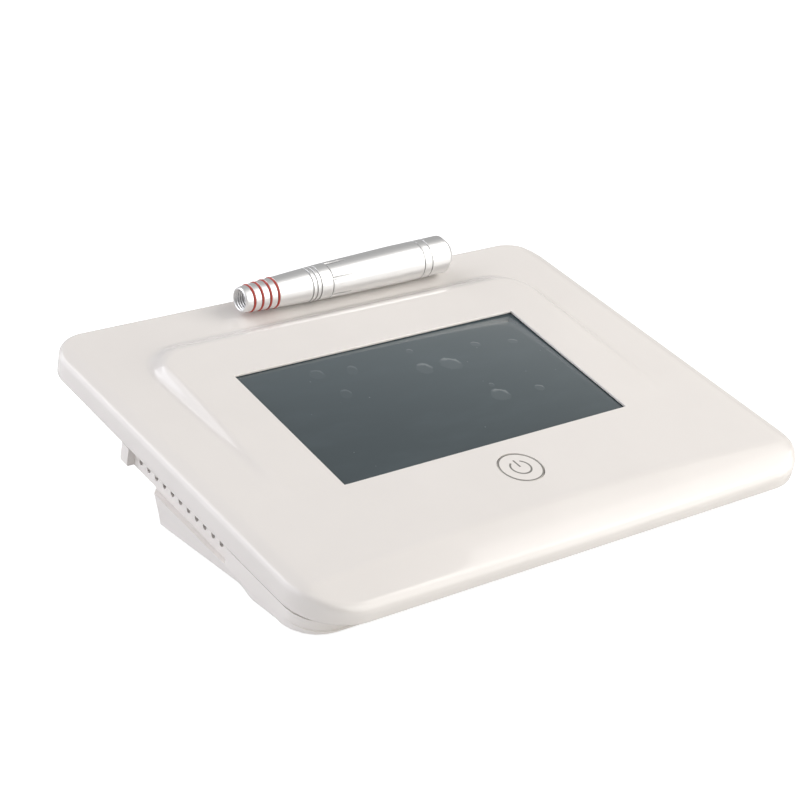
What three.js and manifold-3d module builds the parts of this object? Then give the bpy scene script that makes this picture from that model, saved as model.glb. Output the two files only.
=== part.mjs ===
// Permanent makeup machine: a sloping console with a raised touch screen, and its rotary handpiece.
// Millimetres, +Z up, +X to the right, +Y to the back, standing on z = 0, centred on its footprint.
import * as THREE from 'three';
import { mergeVertices } from 'three/addons/utils/BufferGeometryUtils.js';
import Module from 'manifold-3d';

// Console, outer sizes. The slope frame has x across, v up the slope and w square to the top.
// Its origin is the middle of the screen opening's front edge.
const slopeDegrees = 9.7;
const screenRiseDegrees = 2.3;
const screenEdgeHeight = 28;
const bodyWidth = 273;
const frontReach = 67;
const backReach = 144.5;
const rimDepth = 11.5;
const backCornerRadius = 18;
const frontCornerRadius = 25;
const edgeRound = 2.5;
const noseRound = 4;
const shellWall = 2.5;
const crestReach = 44.3;
const crestSag = 6.3;
const bandDrop = 4;

// Raised screen panel on the top shell
const panelWidth = 206;
const panelBack = 111;
const panelCornerRadius = 15;
const panelSideFlareShare = 1;
const panelBackFlareShare = 1.8;

// Screen opening and what lies behind it
const openingWidth = 156;
const openingHeight = 83.5;
const openingLip = 1;
const glassWidth = 165;
const glassHeight = 98;
const glassThickness = 1.1;
const glassFrontBorder = 4.5;
const gasketThickness = 0.6;
const displayThickness = 5.5;
const displayInset = 0.8;
const frameThickness = 1;
const frameWindowMargin = 9;
const displayPostRadius = 3.6;
const displayPostReach = 6.5;
const displayPostInset = 16;

// Power key and its switch
const keyReach = 19.5;
const keyRadius = 10;
const keyGap = 0.4;
const keyTravel = 0.5;
const keyFlange = 1.4;
const keyFlangeThickness = 1.2;
const keyHubRadius = 3;
const keyHubHeight = 0.6;
const stemRadius = 1.6;
const stemLength = 1.8;
const switchSide = 6.2;
const switchHeight = 3.4;
const keyBoardWidth = 44;
const keyBoardDepth = 12;
const boardThickness = 1.2;

// Base shell
const seam = 0.3;
const baseSideInset = 0.3;
const trayDepth = 8.7;
const trayRear = 78.5;
const trayFrontReach = 60.5;
const trayCornerRadius = 15;
const trayEndRadius = 3;
const trayEdgeRound = 0.8;
const trayWall = 4;
const trayTuckShare = 0.6;
const trayEaseShare = 0.15;
const plateThickness = 1;
const plateClearance = 0.35;
const recessDepth = 3.8;
const recessRear = 71;
const recessFront = -4.5;
const recessDrop = 0.6;
const ventCount = 11;
const ventRear = 66;
const ventPitch = 6.2;
const ventWidth = 2.8;
const ventHeight = 4.9;
const ventDrop = 0.9;
const footSideInset = 3.5;
const footRearTop = 57;
const footRearBottom = 53;
const footFrontReach = 57.3;
const footCornerRadius = 14;
const footFlareStart = -5;
const footFlareEnd = -22;
const footEdgeRound = 1.2;
const footRoundShare = 0.2;
const footProud = 0.8;

// Rubber feet
const padRadius = 6;
const padThickness = 1.8;
const padPocketClearance = 0.3;
const padSideInset = 24.5;
const padRearY = 26;
const padFrontY = -36;

// Screws: one design for the case, one for the boards
const caseScrewShank = 1.5;
const caseScrewHead = 2.9;
const caseScrewHeadHeight = 1.8;
const caseScrewLength = 6.8;
const boardScrewShank = 1.1;
const boardScrewHead = 2.1;
const boardScrewHeadHeight = 1.2;
const boardScrewLength = 5;
const screwClearance = 0.3;
const tipShare = 0.4;
const crownShare = 0.6;
const postWall = 2.4;
const caseScrewSkin = 2.2;
const frontScrewInset = 40.5;
const frontScrewV = -45;
const middleScrewInset = 15.5;
const middleScrewV = 64;
const rearScrewInset = 32.5;
const rearScrewV = 130;

// Main board, in the base
const mainBoardWidth = 168;
const mainBoardDepth = 74;
const mainBoardThickness = 1.6;
const mainBoardMiddleY = -4;
const boardPostHeight = 3.5;
const boardHoleInset = 5;
const connectorHeight = 4;
const ribbonThickness = 0.4;
const ribbonWidth = 24;
const cableLead = 2;
const plugDepth = 6;
const plugDrop = 1.5;
const keyCableWidth = 8;
const socketCableWidth = 16;

// Sockets in the rear rim
const socketDrop = 6.3;
const socketPitch = 24;
const socketBodyDepth = 12;
const socketBodyWidth = 9;
const socketBodyHeight = 4.8;
const socketFlangeThickness = 0.9;
const jackRadius = 3;
const jackFlangeRadius = 3.7;
const jackBore = 1.8;
const inletRadius = 3.5;
const inletFlangeRadius = 3.9;
const inletBore = 2.1;
const inletPin = 1;
const jackDepth = 10;
const socketBoardDepth = 14;
const socketBoardMargin = 8;

// Handpiece, along its own axis from the open front end
const penLedgeV = 131.6;
const penFrontX = -44.8;
const penMouthRadius = 5.7;
const penWaistRadius = 8.4;
const penRadius = 9.2;
const gripLength = 46.4;
const barrelLength = 53;
const capLength = 18.6;
const capChamfer = 3.2;
const capEndRadius = 6.4;
const ringFirst = 4.4;
const ringPitch = 4.2;
const ringCount = 4;
const ringWire = 0.55;
const ringSink = 0.25;
const gripSwellShare = 0.68;
const barrelTaperShare = 0.75;
const gripGrooveFirst = 35.5;
const gripGroovePitch = 2.3;
const gripGrooveCount = 3;
const grooveWidth = 0.5;
const grooveDepth = 0.3;
const capGrooveInset = 4.6;
const fluteCount = 6;
const fluteLength = 11;
const fluteRadius = 1.2;
const fluteDepth = 0.4;
const mouthBore = 4.6;
const mouthDepth = 13;
const bushRadius = 3;
const bushBore = 1.5;
const bushLength = 7;
const bushFlange = 1.4;
const chamberRadius = 6.2;
const spigotLength = 6;
const spigotWall = 1.2;
const barrelBore = 7.2;
const needleBarRadius = 1.2;
const needleBarTip = 8;
const headThickness = 1.5;
const headRadius = 4;
const headPlace = 33;
const followerRadius = 0.9;
const followerOffset = 3;
const stroke = 2.5;
const camRadius = 5.4;
const camMiddle = 38.5;
const camBack = 42.2;
const shaftRadius = 1;
const shaftFront = 39.8;
const shaftBite = 4;
const motorLength = 36;
const motorRadius = 6.9;
const motorBossRadius = 3;
const springTurns = 5;
const springRadius = 2.5;
const springWire = 0.35;
const springSidesPerTurn = 8;
const leadRadius = 0.8;
const rearSocketRadius = 5.4;
const rearSocketLength = 12;
const rearSocketBore = 1.8;
const rearSocketDepth = 9;
const rearMouthBore = 3.2;
const runningGap = 0.3;
const pressGap = 0.1;

// Facets
const cornerSteps = 5;
const frontSteps = 10;
const roundSteps = 4;
const bigSides = 26;
const midSides = 18;
const smallSides = 12;
const screwSides = 9;
const wireSides = 6;
const gripSteps = 6;
const overrun = 3;
const cableSteps = 14;

const wasm = await Module();
wasm.setup();

const slope = THREE.MathUtils.degToRad(slopeDegrees);
const screenRise = THREE.MathUtils.degToRad(screenRiseDegrees);
const half = bodyWidth / 2;

// Meshes and solids

function signedVolume(position, index) {
  const [a, b, c] = [new THREE.Vector3(), new THREE.Vector3(), new THREE.Vector3()];
  let volume = 0;
  for (let i = 0; i < index.length; i += 3) {
    a.fromBufferAttribute(position, index[i]);
    b.fromBufferAttribute(position, index[i + 1]);
    c.fromBufferAttribute(position, index[i + 2]);
    volume += a.dot(b.cross(c));
  }
  return volume;
}

function solid(geometry) {
  geometry.deleteAttribute('normal');
  geometry.deleteAttribute('uv');
  const merged = mergeVertices(geometry);
  const index = Array.from(merged.index.array);
  if (signedVolume(merged.attributes.position, index) < 0) index.reverse();
  return new wasm.Manifold(new wasm.Mesh({
    numProp: 3,
    vertProperties: new Float32Array(merged.attributes.position.array),
    triVerts: new Uint32Array(index),
  }));
}

function geometryOf(body) {
  const mesh = body.getMesh();
  const geometry = new THREE.BufferGeometry();
  const places = new Float32Array(mesh.vertProperties);
  geometry.setAttribute('position', new THREE.BufferAttribute(places, mesh.numProp));
  geometry.setIndex(Array.from(mesh.triVerts));
  const facets = geometry.toNonIndexed();
  facets.computeVertexNormals();
  return facets;
}

const union = (bodies) => bodies.reduce((all, body) => all.add(body));
const cut = (body, tools) => tools.reduce((rest, tool) => rest.subtract(tool), body);

// Closed body through rings of equally many points, with flat ends
function loft(outlines) {
  const clockwise = THREE.ShapeUtils.area(outlines[0]) < 0;
  const rings = clockwise ? outlines.map((ring) => [...ring].reverse()) : outlines;
  const count = rings[0].length;
  const positions = rings.flat().flatMap((p) => [p.x, p.y, p.z]);
  const index = [];
  for (let r = 0; r + 1 < rings.length; r += 1) {
    for (let i = 0; i < count; i += 1) {
      const next = (i + 1) % count;
      const [a, b] = [r * count + i, r * count + next];
      const [c, d] = [a + count, b + count];
      index.push(a, b, d, a, d, c);
    }
  }
  const cap = (ring, start, flip) => {
    const flat = ring.map((p) => new THREE.Vector2(p.x, p.y));
    for (const face of THREE.ShapeUtils.triangulateShape(flat, [])) {
      const [a, b, c] = flip ? [face[2], face[1], face[0]] : face;
      index.push(start + a, start + b, start + c);
    }
  };
  cap(rings[0], 0, true);
  cap(rings[rings.length - 1], (rings.length - 1) * count, false);
  const geometry = new THREE.BufferGeometry();
  geometry.setAttribute('position', new THREE.Float32BufferAttribute(positions, 3));
  geometry.setIndex(index);
  return solid(geometry);
}

function box(low, high) {
  const size = new THREE.Vector3().subVectors(high, low);
  const geometry = new THREE.BoxGeometry(size.x, size.y, size.z);
  geometry.translate((low.x + high.x) / 2, (low.y + high.y) / 2, (low.z + high.z) / 2);
  return solid(geometry);
}

const block = (x0, y0, z0, x1, y1, z1) => box(new THREE.Vector3(x0, y0, z0), new THREE.Vector3(x1, y1, z1));

// Upright round bar from z0 to z1
function bar(radius, x, y, z0, z1, sides = smallSides) {
  const geometry = new THREE.CylinderGeometry(radius, radius, z1 - z0, sides);
  geometry.rotateX(Math.PI / 2);
  geometry.translate(x, y, (z0 + z1) / 2);
  return solid(geometry);
}

// Round bar along y
function crossBar(radius, x, z, y0, y1, sides = smallSides) {
  const geometry = new THREE.CylinderGeometry(radius, radius, y1 - y0, sides);
  geometry.translate(x, (y0 + y1) / 2, z);
  return solid(geometry);
}

// Body of revolution about x, from pairs of place and radius that start and end on the axis
function turned(profile, sides = smallSides) {
  const geometry = new THREE.LatheGeometry(profile.map(([x, r]) => new THREE.Vector2(r, x)), sides);
  geometry.rotateZ(-Math.PI / 2);
  return solid(geometry);
}

// Upright body of revolution, from pairs of radius and height that start and end on the axis
function turnedUp(profile, sides = smallSides) {
  const geometry = new THREE.LatheGeometry(profile.map(([r, z]) => new THREE.Vector2(r, z)), sides);
  geometry.rotateX(Math.PI / 2);
  return solid(geometry);
}

// Turns a shape drawn across y and z, with its depth along x
function sideways(geometry) {
  const [x, y, z] = [new THREE.Vector3(1, 0, 0), new THREE.Vector3(0, 1, 0), new THREE.Vector3(0, 0, 1)];
  return geometry.applyMatrix4(new THREE.Matrix4().makeBasis(y, z, x));
}

// Places of the slope frame seen from the level frame, and the other way round

const levelToSlope = new THREE.Matrix4().makeRotationX(-slope);
const screenToSlope = new THREE.Matrix4().makeRotationX(screenRise);
const onSlope = (body) => body.transform(levelToSlope.elements);
const onScreen = (body) => body.transform(screenToSlope.elements);

// Outlines, as places with their outward direction

function corner(cx, cy, radius, startQuarter) {
  const places = [];
  for (let i = 0; i <= cornerSteps; i += 1) {
    const angle = (startQuarter + i / cornerSteps) * Math.PI / 2;
    const [nx, ny] = [Math.cos(angle), Math.sin(angle)];
    places.push({ x: cx + radius * nx, y: cy + radius * ny, nx, ny });
  }
  return places;
}

// Rounded rectangle from front to back, with its front side in even steps
function roundedOutline(halfWidth, front, back, frontRadius, backRadius) {
  const places = [
    ...corner(halfWidth - backRadius, back - backRadius, backRadius, 0),
    ...corner(backRadius - halfWidth, back - backRadius, backRadius, 1),
    ...corner(frontRadius - halfWidth, front + frontRadius, frontRadius, 2),
  ];
  const run = halfWidth - frontRadius;
  for (let i = 1; i < frontSteps; i += 1) {
    places.push({ x: run * (2 * i / frontSteps - 1), y: front, nx: 0, ny: -1 });
  }
  return [...places, ...corner(halfWidth - frontRadius, front + frontRadius, frontRadius, 3)];
}

const ringAt = (outline, inset, height) => outline.map((p) => {
  const [x, y] = [p.x - p.nx * inset, p.y - p.ny * inset];
  return new THREE.Vector3(x, y, typeof height === 'function' ? height(x, y, p) : height);
});

// Top shell

const crestAt = (x) => -crestReach - crestSag * (x / half) ** 2;
const bandSlope = bandDrop / (frontReach - noseRound - crestReach);
const bandHeight = (x, v) => -bandSlope * Math.max(0, crestAt(x) - v);
const topOutline = roundedOutline(half, -frontReach, backReach, frontCornerRadius, backCornerRadius);

// The sloping slab with rounded edges and the front band below its arched crest
function slab(inset, bottom, steps) {
  const roundAt = (p) => edgeRound + (noseRound - edgeRound) * Math.max(0, -p.ny) ** 2;
  const rings = [ringAt(topOutline, inset, bottom)];
  for (let i = 0; i <= steps; i += 1) {
    const angle = i / steps * Math.PI / 2;
    const ring = topOutline.map((p) => {
      const round = roundAt(p);
      const edge = inset + round;
      const top = bandHeight(p.x - p.nx * edge, p.y - p.ny * edge) - inset;
      const reach = inset + round * (1 - Math.cos(angle));
      return new THREE.Vector3(p.x - p.nx * reach, p.y - p.ny * reach, top - round * (1 - Math.sin(angle)));
    });
    rings.push(ring);
  }
  const crest = topOutline.map((p) => {
    const reach = inset + 2 * roundAt(p);
    const [x, y] = [p.x - p.nx * reach, p.y - p.ny * reach];
    return new THREE.Vector3(x, Math.max(y, crestAt(x) + inset), -inset);
  });
  return loft([...rings, crest]);
}

// The raised panel: its top lies in the screen's plane, its back and sides flare down to the slab
function panel(inset) {
  const outline = roundedOutline(
    panelWidth / 2 - inset, -seam, panelBack - inset, seam, panelCornerRadius - inset,
  );
  const root = -edgeRound - inset;
  const top = (x, v) => v * Math.tan(screenRise) - inset;
  const foot = outline.map((p) => {
    const flare = panelSideFlareShare * p.nx ** 2 + panelBackFlareShare * Math.max(0, p.ny) ** 2;
    const reach = p.ny < 0 ? 0 : flare * (top(p.x, p.y) - root);
    return new THREE.Vector3(p.x + p.nx * reach, p.y + p.ny * reach, root);
  });
  return loft([foot, ringAt(outline, 0, top)]);
}

const glassTop = -openingLip - seam;
const glassBottom = glassTop - glassThickness;
const gasketTop = glassBottom - seam;
const displayTop = gasketTop - gasketThickness - seam;
const displayBottom = displayTop - displayThickness;
const frameTop = displayBottom - seam;
const frameBottom = frameTop - frameThickness;
const glassFront = -glassFrontBorder;
const glassBack = glassFront + glassHeight;
const displayPlugV = glassBack - frameWindowMargin * 3;
const ribbonX = mainBoardWidth / 4;
const displayPostX = glassWidth / 2 + displayPostReach;
const displayPostPlaces = [glassFront + displayPostInset, glassBack - displayPostInset]
  .flatMap((v) => [[-displayPostX, v], [displayPostX, v]]);

const keyHole = keyRadius + keyGap;
const keyFlangeTop = -shellWall - seam;
const keyFlangeBottom = keyFlangeTop - keyFlangeThickness;
const stemTop = keyFlangeBottom - keyHubHeight - seam;
const switchTop = stemTop - keyTravel - seam;
const keyBoardTop = switchTop - switchHeight - seam;
const keyBoardBottom = keyBoardTop - boardThickness;
const keyScrewX = keyBoardWidth / 2 - boardHoleInset;
const keyPlugV = -(keyBoardDepth / 2 + keyBoardDepth / 4) / 2;

const caseScrewPlaces = [
  { name: 'front', x: half - frontScrewInset, v: frontScrewV },
  { name: 'middle', x: half - middleScrewInset, v: middleScrewV },
  { name: 'rear', x: half - rearScrewInset, v: rearScrewV },
];
const sides = [['left', -1], ['right', 1]];
const seamBottom = -rimDepth - seam;
const plateTop = -rimDepth + plateThickness;
const columnTop = (place) => (place.name === 'rear'
  ? seamBottom + caseScrewHeadHeight + seam + caseScrewSkin
  : -rimDepth);
const caseScrewSeat = (place) => columnTop(place) - caseScrewSkin;
const casePostRadius = caseScrewShank + postWall;

const socketCentre = -socketDrop;
const socketPlaces = [
  { name: 'dc_inlet', kind: 'inlet' },
  { name: 'pedal_socket', kind: 'jack' },
  { name: 'handpiece_socket_1', kind: 'jack' },
  { name: 'handpiece_socket_2', kind: 'jack' },
].map((socket, i, all) => ({ ...socket, x: (i - (all.length - 1) / 2) * socketPitch }));
const barrelRadiusOf = (socket) => (socket.kind === 'inlet' ? inletRadius : jackRadius);
const socketBoardHalf = socketPitch * (socketPlaces.length - 1) / 2 + socketBoardMargin;
const socketBodyBottom = socketCentre - socketBodyHeight / 2;
const socketBoardTop = socketBodyBottom - seam;
const socketBoardBottom = socketBoardTop - boardThickness;
const socketBodyBack = backReach - shellWall - seam;
const socketBoardBack = socketBodyBack - seam * 2;
const socketBoardFront = socketBoardBack - socketBoardDepth;
const socketRibX = socketBoardHalf - socketBoardMargin / 4;

function topShell() {
  const outer = slab(0, -rimDepth, roundSteps).add(panel(0));
  const within = (inset) => slab(inset, -rimDepth - overrun, roundSteps / 2).add(panel(inset));
  const hollow = within(shellWall);
  const opening = onScreen(block(
    -openingWidth / 2, 0, displayBottom, openingWidth / 2, openingHeight, rimDepth,
  ));
  const pocket = onScreen(block(
    -glassWidth / 2 - seam, glassFront - seam, displayBottom,
    glassWidth / 2 + seam, glassBack + seam, -openingLip,
  ));
  const keyOpening = bar(keyHole, 0, -keyReach, -rimDepth, shellWall, bigSides);
  const ports = socketPlaces.map((socket) => crossBar(
    barrelRadiusOf(socket) + seam, socket.x, socketCentre,
    backReach - shellWall - overrun, backReach + overrun, smallSides,
  ));
  const shell = cut(outer, [hollow, opening, pocket, keyOpening, ...ports]);
  const posts = union(topPosts()).intersect(within(shellWall / 2));
  return cut(shell.add(posts), screwHolesInTop());
}

// Posts and ribs that hang from the roof: those under the case screws end where they meet it
function topPosts() {
  const display = displayPostPlaces.map(([x, v]) => onScreen(
    bar(displayPostRadius, x, v, frameTop + seam, -shellWall / 2),
  ));
  const key = [-keyScrewX, keyScrewX].map((x) => bar(
    boardScrewShank + postWall, x, -keyReach, keyBoardTop + seam, -shellWall / 2,
  ));
  const caseOnes = caseScrewPlaces.flatMap((place) => sides.map(([, side]) => bar(
    casePostRadius, side * place.x, place.v, columnTop(place) + seam, rimDepth,
  )));
  const ribs = sides.map(([, side]) => block(
    side * socketRibX - shellWall / 2, socketBodyBack - socketBoardDepth / 2, socketBoardTop + seam,
    side * socketRibX + shellWall / 2, backReach - shellWall / 2, -shellWall / 2,
  ));
  return [...display, ...key, ...caseOnes, ...ribs];
}

function screwHolesInTop() {
  const shank = boardScrewShank + screwClearance;
  const display = displayPostPlaces.map(([x, v]) => onScreen(
    bar(shank, x, v, frameBottom - overrun, frameTop + boardScrewLength),
  ));
  const key = [-keyScrewX, keyScrewX].map((x) => bar(
    shank, x, -keyReach, keyBoardBottom - overrun, keyBoardBottom + boardScrewLength + seam,
  ));
  const caseOnes = caseScrewPlaces.flatMap((place) => sides.map(([, side]) => bar(
    caseScrewShank + screwClearance, side * place.x, place.v,
    columnTop(place) - overrun, Math.min(caseScrewSeat(place) + caseScrewLength + seam, -shellWall),
  )));
  return [...display, ...key, ...caseOnes];
}

// Screen stack, in the screen's frame

function screenSheet(low, high, inset) {
  const reach = glassWidth / 2 - inset;
  return block(-reach, glassFront + inset, low, reach, glassBack - inset, high);
}

function touchGlass() {
  return screenSheet(glassBottom, glassTop, 0);
}

function screenGasket() {
  const window = block(
    -openingWidth / 2, 0, gasketTop - overrun,
    openingWidth / 2, openingHeight, gasketTop + overrun,
  );
  return screenSheet(gasketTop - gasketThickness, gasketTop, seam).subtract(window);
}

function displayPanel() {
  const rim = screenSheet(displayBottom, displayTop, displayInset);
  const plug = block(
    -ribbonX - ribbonWidth / 2 - seam, displayPlugV - plugDepth / 2, displayBottom - plugDrop,
    -ribbonX + ribbonWidth / 2 + seam, displayPlugV + plugDepth / 2, displayBottom + seam,
  );
  return rim.add(plug);
}

function displayFrame() {
  const plate = block(
    -glassWidth / 2, glassFront, frameBottom,
    glassWidth / 2, glassBack, frameTop,
  );
  const window = block(
    -glassWidth / 2 + frameWindowMargin, glassFront + frameWindowMargin, frameBottom - overrun,
    glassWidth / 2 - frameWindowMargin, glassBack - frameWindowMargin * 2, frameTop + overrun,
  );
  const ears = displayPostPlaces.map(([x, v]) => union([
    bar(displayPostRadius, x, v, frameBottom, frameTop),
    block(
      Math.min(x, x - Math.sign(x) * displayPostReach * 2), v - displayPostRadius, frameBottom,
      Math.max(x, x - Math.sign(x) * displayPostReach * 2), v + displayPostRadius, frameTop,
    ),
  ]));
  const holes = displayPostPlaces.map(([x, v]) => bar(
    boardScrewShank + screwClearance, x, v, frameBottom - overrun, frameTop + overrun,
  ));
  return cut(cut(union([plate, ...ears]), [window]), holes);
}

// Screw with a domed head, its head's underside at z = 0 and its shank up
function screw(shank, head, headHeight, length) {
  const tip = shank * tipShare;
  return turnedUp([
    [0, -headHeight], [head * crownShare, -headHeight], [head, -headHeight * tipShare], [head, 0],
    [shank, 0], [shank, length - tip], [tip, length], [0, length],
  ], screwSides);
}

const boardScrew = () => screw(boardScrewShank, boardScrewHead, boardScrewHeadHeight, boardScrewLength);
const caseScrew = () => screw(caseScrewShank, caseScrewHead, caseScrewHeadHeight, caseScrewLength);

// Power key and switch, about the key's axis, with the slab's top at z = 0

function powerKey() {
  const flange = keyRadius + keyFlange;
  const chamfer = keyGap / 2;
  return turnedUp([
    [0, keyFlangeBottom - keyHubHeight], [keyHubRadius, keyFlangeBottom - keyHubHeight],
    [keyHubRadius, keyFlangeBottom], [flange, keyFlangeBottom], [flange, keyFlangeTop],
    [keyRadius, keyFlangeTop], [keyRadius, -chamfer], [keyRadius - chamfer, 0], [0, 0],
  ], bigSides);
}

function keySwitchStem() {
  return bar(stemRadius, 0, 0, stemTop - stemLength, stemTop);
}

function keySwitch() {
  const side = switchSide / 2;
  const well = bar(stemRadius + seam, 0, 0, stemTop - stemLength - keyTravel - seam, switchTop + overrun);
  return block(-side, -side, switchTop - switchHeight, side, side, switchTop).subtract(well);
}

function keyBoard() {
  const plate = block(
    -keyBoardWidth / 2, -keyBoardDepth / 2, keyBoardBottom,
    keyBoardWidth / 2, keyBoardDepth / 2, keyBoardTop,
  );
  const plug = block(
    -keyCableWidth / 2, -keyBoardDepth / 2, keyBoardBottom - boardThickness,
    keyCableWidth / 2, -keyBoardDepth / 4, keyBoardBottom + boardThickness / 2,
  );
  const holes = [-keyScrewX, keyScrewX].map((x) => bar(
    boardScrewShank + screwClearance, x, 0, keyBoardBottom - overrun, keyBoardTop + overrun,
  ));
  return cut(plate.add(plug), holes);
}

// Base shell, in the slope frame

const tableHeight = -screenEdgeHeight;
const floorBottom = tableHeight + footProud;
const floorTop = floorBottom + shellWall;
const trayTop = -rimDepth - seam;
const trayBottom = trayTop - trayDepth;
const trayHalf = half - baseSideInset;
const footHalfWidth = trayHalf - footSideInset;
const footTopHalf = trayHalf - pressGap;
const recessFloor = half - recessDepth;

function tray(inset, floor, top) {
  const outline = roundedOutline(
    trayHalf - inset, -trayFrontReach + inset, trayRear - inset,
    trayCornerRadius - inset, Math.max(trayEndRadius - inset, edgeRound),
  );
  const bottom = trayBottom + floor;
  const round = Math.max(trayEdgeRound - inset, seam);
  return loft([
    ringAt(outline, round * trayTuckShare, bottom),
    ringAt(outline, round * trayEaseShare, bottom + round * (1 - trayTuckShare)),
    ringAt(outline, 0, bottom + round),
    ringAt(outline, 0, top),
  ]);
}

// Half width of the foot at y and at a share of its height. At the bottom it is narrow behind
// and swells to the tray's width at the front. At the top it is as wide as the tray.
function footHalfAt(y, rise) {
  const swell = THREE.MathUtils.smoothstep(footFlareStart - y, 0, footFlareStart - footFlareEnd);
  return footHalfWidth + (footTopHalf - footHalfWidth) * (swell + (1 - swell) * rise);
}

function footOutline(rear, inset, rise) {
  const front = -footFrontReach + inset;
  const radius = footCornerRadius - inset;
  const wide = footTopHalf - inset;
  const side = [];
  for (let i = 0; i <= roundSteps * 2; i += 1) {
    const y = footFlareStart + (footFlareEnd - footFlareStart) * i / (roundSteps * 2);
    side.push({ x: footHalfAt(y, rise) - inset, y });
  }
  const rearX = footHalfAt(rear, rise) - inset;
  const bend = trayEndRadius;
  const frontRight = corner(wide - radius, front + radius, radius, 3).reverse();
  const rearRight = [{ x: rearX - bend, y: rear - inset }, { x: rearX, y: rear - inset - bend }];
  const right = [...rearRight, ...side, ...frontRight];
  const left = right.map((p) => ({ x: -p.x, y: p.y })).reverse();
  return [...right, ...left];
}

// Wedge under the tray: its bottom is level, its top lies inside the tray.
// Each row of shares is a level: its height, the tuck of its edge and the lean of its rear.
const footLevelShares = [
  [0, 0.8, 0], [0.06, 0.25, 0.12], [footRoundShare, 0, 0.25], [0.35, 0, 0.55], [1, 0, 1],
];

// The levels of the edge's round stay within that round, also where the foot is tall
function footRise(share, height) {
  const limit = footEdgeRound / (footRoundShare * Math.max(height, seam));
  return share > footRoundShare ? share : share * Math.min(limit, 1);
}

function foot(inset) {
  const bottom = floorBottom + inset;
  const sinkDepth = trayTop - trayDepth / 2;
  const topAt = (y) => (sinkDepth + Math.sin(slope) * y) / Math.cos(slope);
  return onSlope(loft(footLevelShares.map(([share, tuck, lean]) => {
    const rear = footRearBottom + (footRearTop - footRearBottom) * lean;
    const outline = footOutline(rear, inset + footEdgeRound * tuck, share);
    return outline.map((p) => {
      const height = topAt(p.y) + inset - bottom;
      return new THREE.Vector3(p.x, p.y, bottom + height * footRise(share, height));
    });
  })));
}

function plate(inset, low, high) {
  const edge = shellWall + plateClearance + inset;
  return loft([ringAt(topOutline, edge, low), ringAt(topOutline, edge, high)]);
}

// Everything below a level of the table frame
function below(level) {
  return onSlope(block(-bodyWidth, -bodyWidth, level - bodyWidth, bodyWidth, bodyWidth, level));
}

const ventPlaces = Array.from({ length: ventCount }, (_, i) => ventRear - i * ventPitch);

// Slot with a round lower end, through one side wall
function vent(side, v) {
  const radius = ventWidth / 2;
  const top = trayTop - ventDrop;
  const shape = new THREE.Shape();
  shape.moveTo(-radius, top);
  shape.lineTo(-radius, top - ventHeight + radius);
  shape.absarc(0, top - ventHeight + radius, radius, Math.PI, Math.PI * 2, false);
  shape.lineTo(radius, top);
  const depth = trayWall * 2;
  const geometry = sideways(new THREE.ExtrudeGeometry(shape, {
    depth, bevelEnabled: false, curveSegments: roundSteps / 2,
  }));
  geometry.translate(side * recessFloor - depth / 2, v, 0);
  return solid(geometry);
}

function sideRecess(side) {
  const [near, far] = [side * recessFloor, side * (half + overrun)];
  return block(
    Math.min(near, far), recessFront, trayBottom - recessDrop,
    Math.max(near, far), recessRear, -rimDepth,
  );
}

// Wall kept behind each recess when the base is hollowed
function recessBacking(side) {
  const [near, far] = [side * (recessFloor - shellWall), side * half];
  return block(
    Math.min(near, far), recessFront - shellWall, trayBottom - overrun,
    Math.max(near, far), recessRear + shellWall, plateTop + overrun,
  );
}

const caseColumnRadius = caseScrewHead + screwClearance + postWall;

function baseShell() {
  const outer = union([
    tray(0, 0, trayTop), foot(0), plate(0, trayTop, plateTop),
  ]);
  const inner = cut(
    tray(trayWall, shellWall, plateTop + overrun).add(foot(shellWall)),
    sides.map(([, side]) => recessBacking(side)).concat(below(floorTop)),
  );
  const shell = cut(outer, [inner, below(floorBottom), ...sides.map(([, side]) => sideRecess(side))]);
  const columns = union([...caseColumns(), ...boardPosts()]).subtract(below(floorBottom));
  const vents = sides.flatMap(([, side]) => ventPlaces.map((v) => vent(side, v)));
  return cut(shell.add(columns), [...vents, ...caseBores(), ...padPockets(), ...boardBores()]);
}

const columnBottom = {
  front: trayBottom - rimDepth,
  middle: trayBottom + shellWall / 2,
  rear: trayTop,
};

function caseColumns() {
  return caseScrewPlaces.flatMap((place) => sides.map(([, side]) => bar(
    caseColumnRadius, side * place.x, place.v,
    columnBottom[place.name], columnTop(place),
  )));
}

function caseBores() {
  return caseScrewPlaces.flatMap((place) => sides.flatMap(([, side]) => [
    bar(caseScrewShank + screwClearance, side * place.x, place.v, trayBottom, columnTop(place) + seam / 2),
    bar(caseScrewHead + screwClearance, side * place.x, place.v, trayBottom - rimDepth, caseScrewSeat(place)),
  ]));
}

const boardScrewX = mainBoardWidth / 2 - boardHoleInset;
const boardScrewYs = [
  mainBoardMiddleY - mainBoardDepth / 2 + boardHoleInset,
  mainBoardMiddleY + mainBoardDepth / 2 - boardHoleInset,
];
const boardScrewPlaces = boardScrewYs.flatMap((y) => [[-boardScrewX, y], [boardScrewX, y]]);
const mainBoardBottom = floorTop + boardPostHeight + seam;
const mainBoardTop = mainBoardBottom + mainBoardThickness;

function boardPosts() {
  return boardScrewPlaces.map(([x, y]) => onSlope(bar(
    boardScrewShank + postWall, x, y, floorBottom + shellWall / 2, floorTop + boardPostHeight,
  )));
}

function boardBores() {
  const bottom = mainBoardTop - boardScrewLength - seam;
  return boardScrewPlaces.map(([x, y]) => onSlope(bar(
    boardScrewShank + screwClearance, x, y, bottom, mainBoardTop + overrun,
  )));
}

const padPlaces = sides.flatMap(([name, side]) => [
  [`rear_${name}`, side * (half - padSideInset), padRearY],
  [`front_${name}`, side * (half - padSideInset), padFrontY],
]);

function padPockets() {
  return padPlaces.map(([, x, y]) => onSlope(bar(
    padRadius + padPocketClearance, x, y, floorBottom - overrun, tableHeight + padThickness + seam, midSides,
  )));
}

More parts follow.
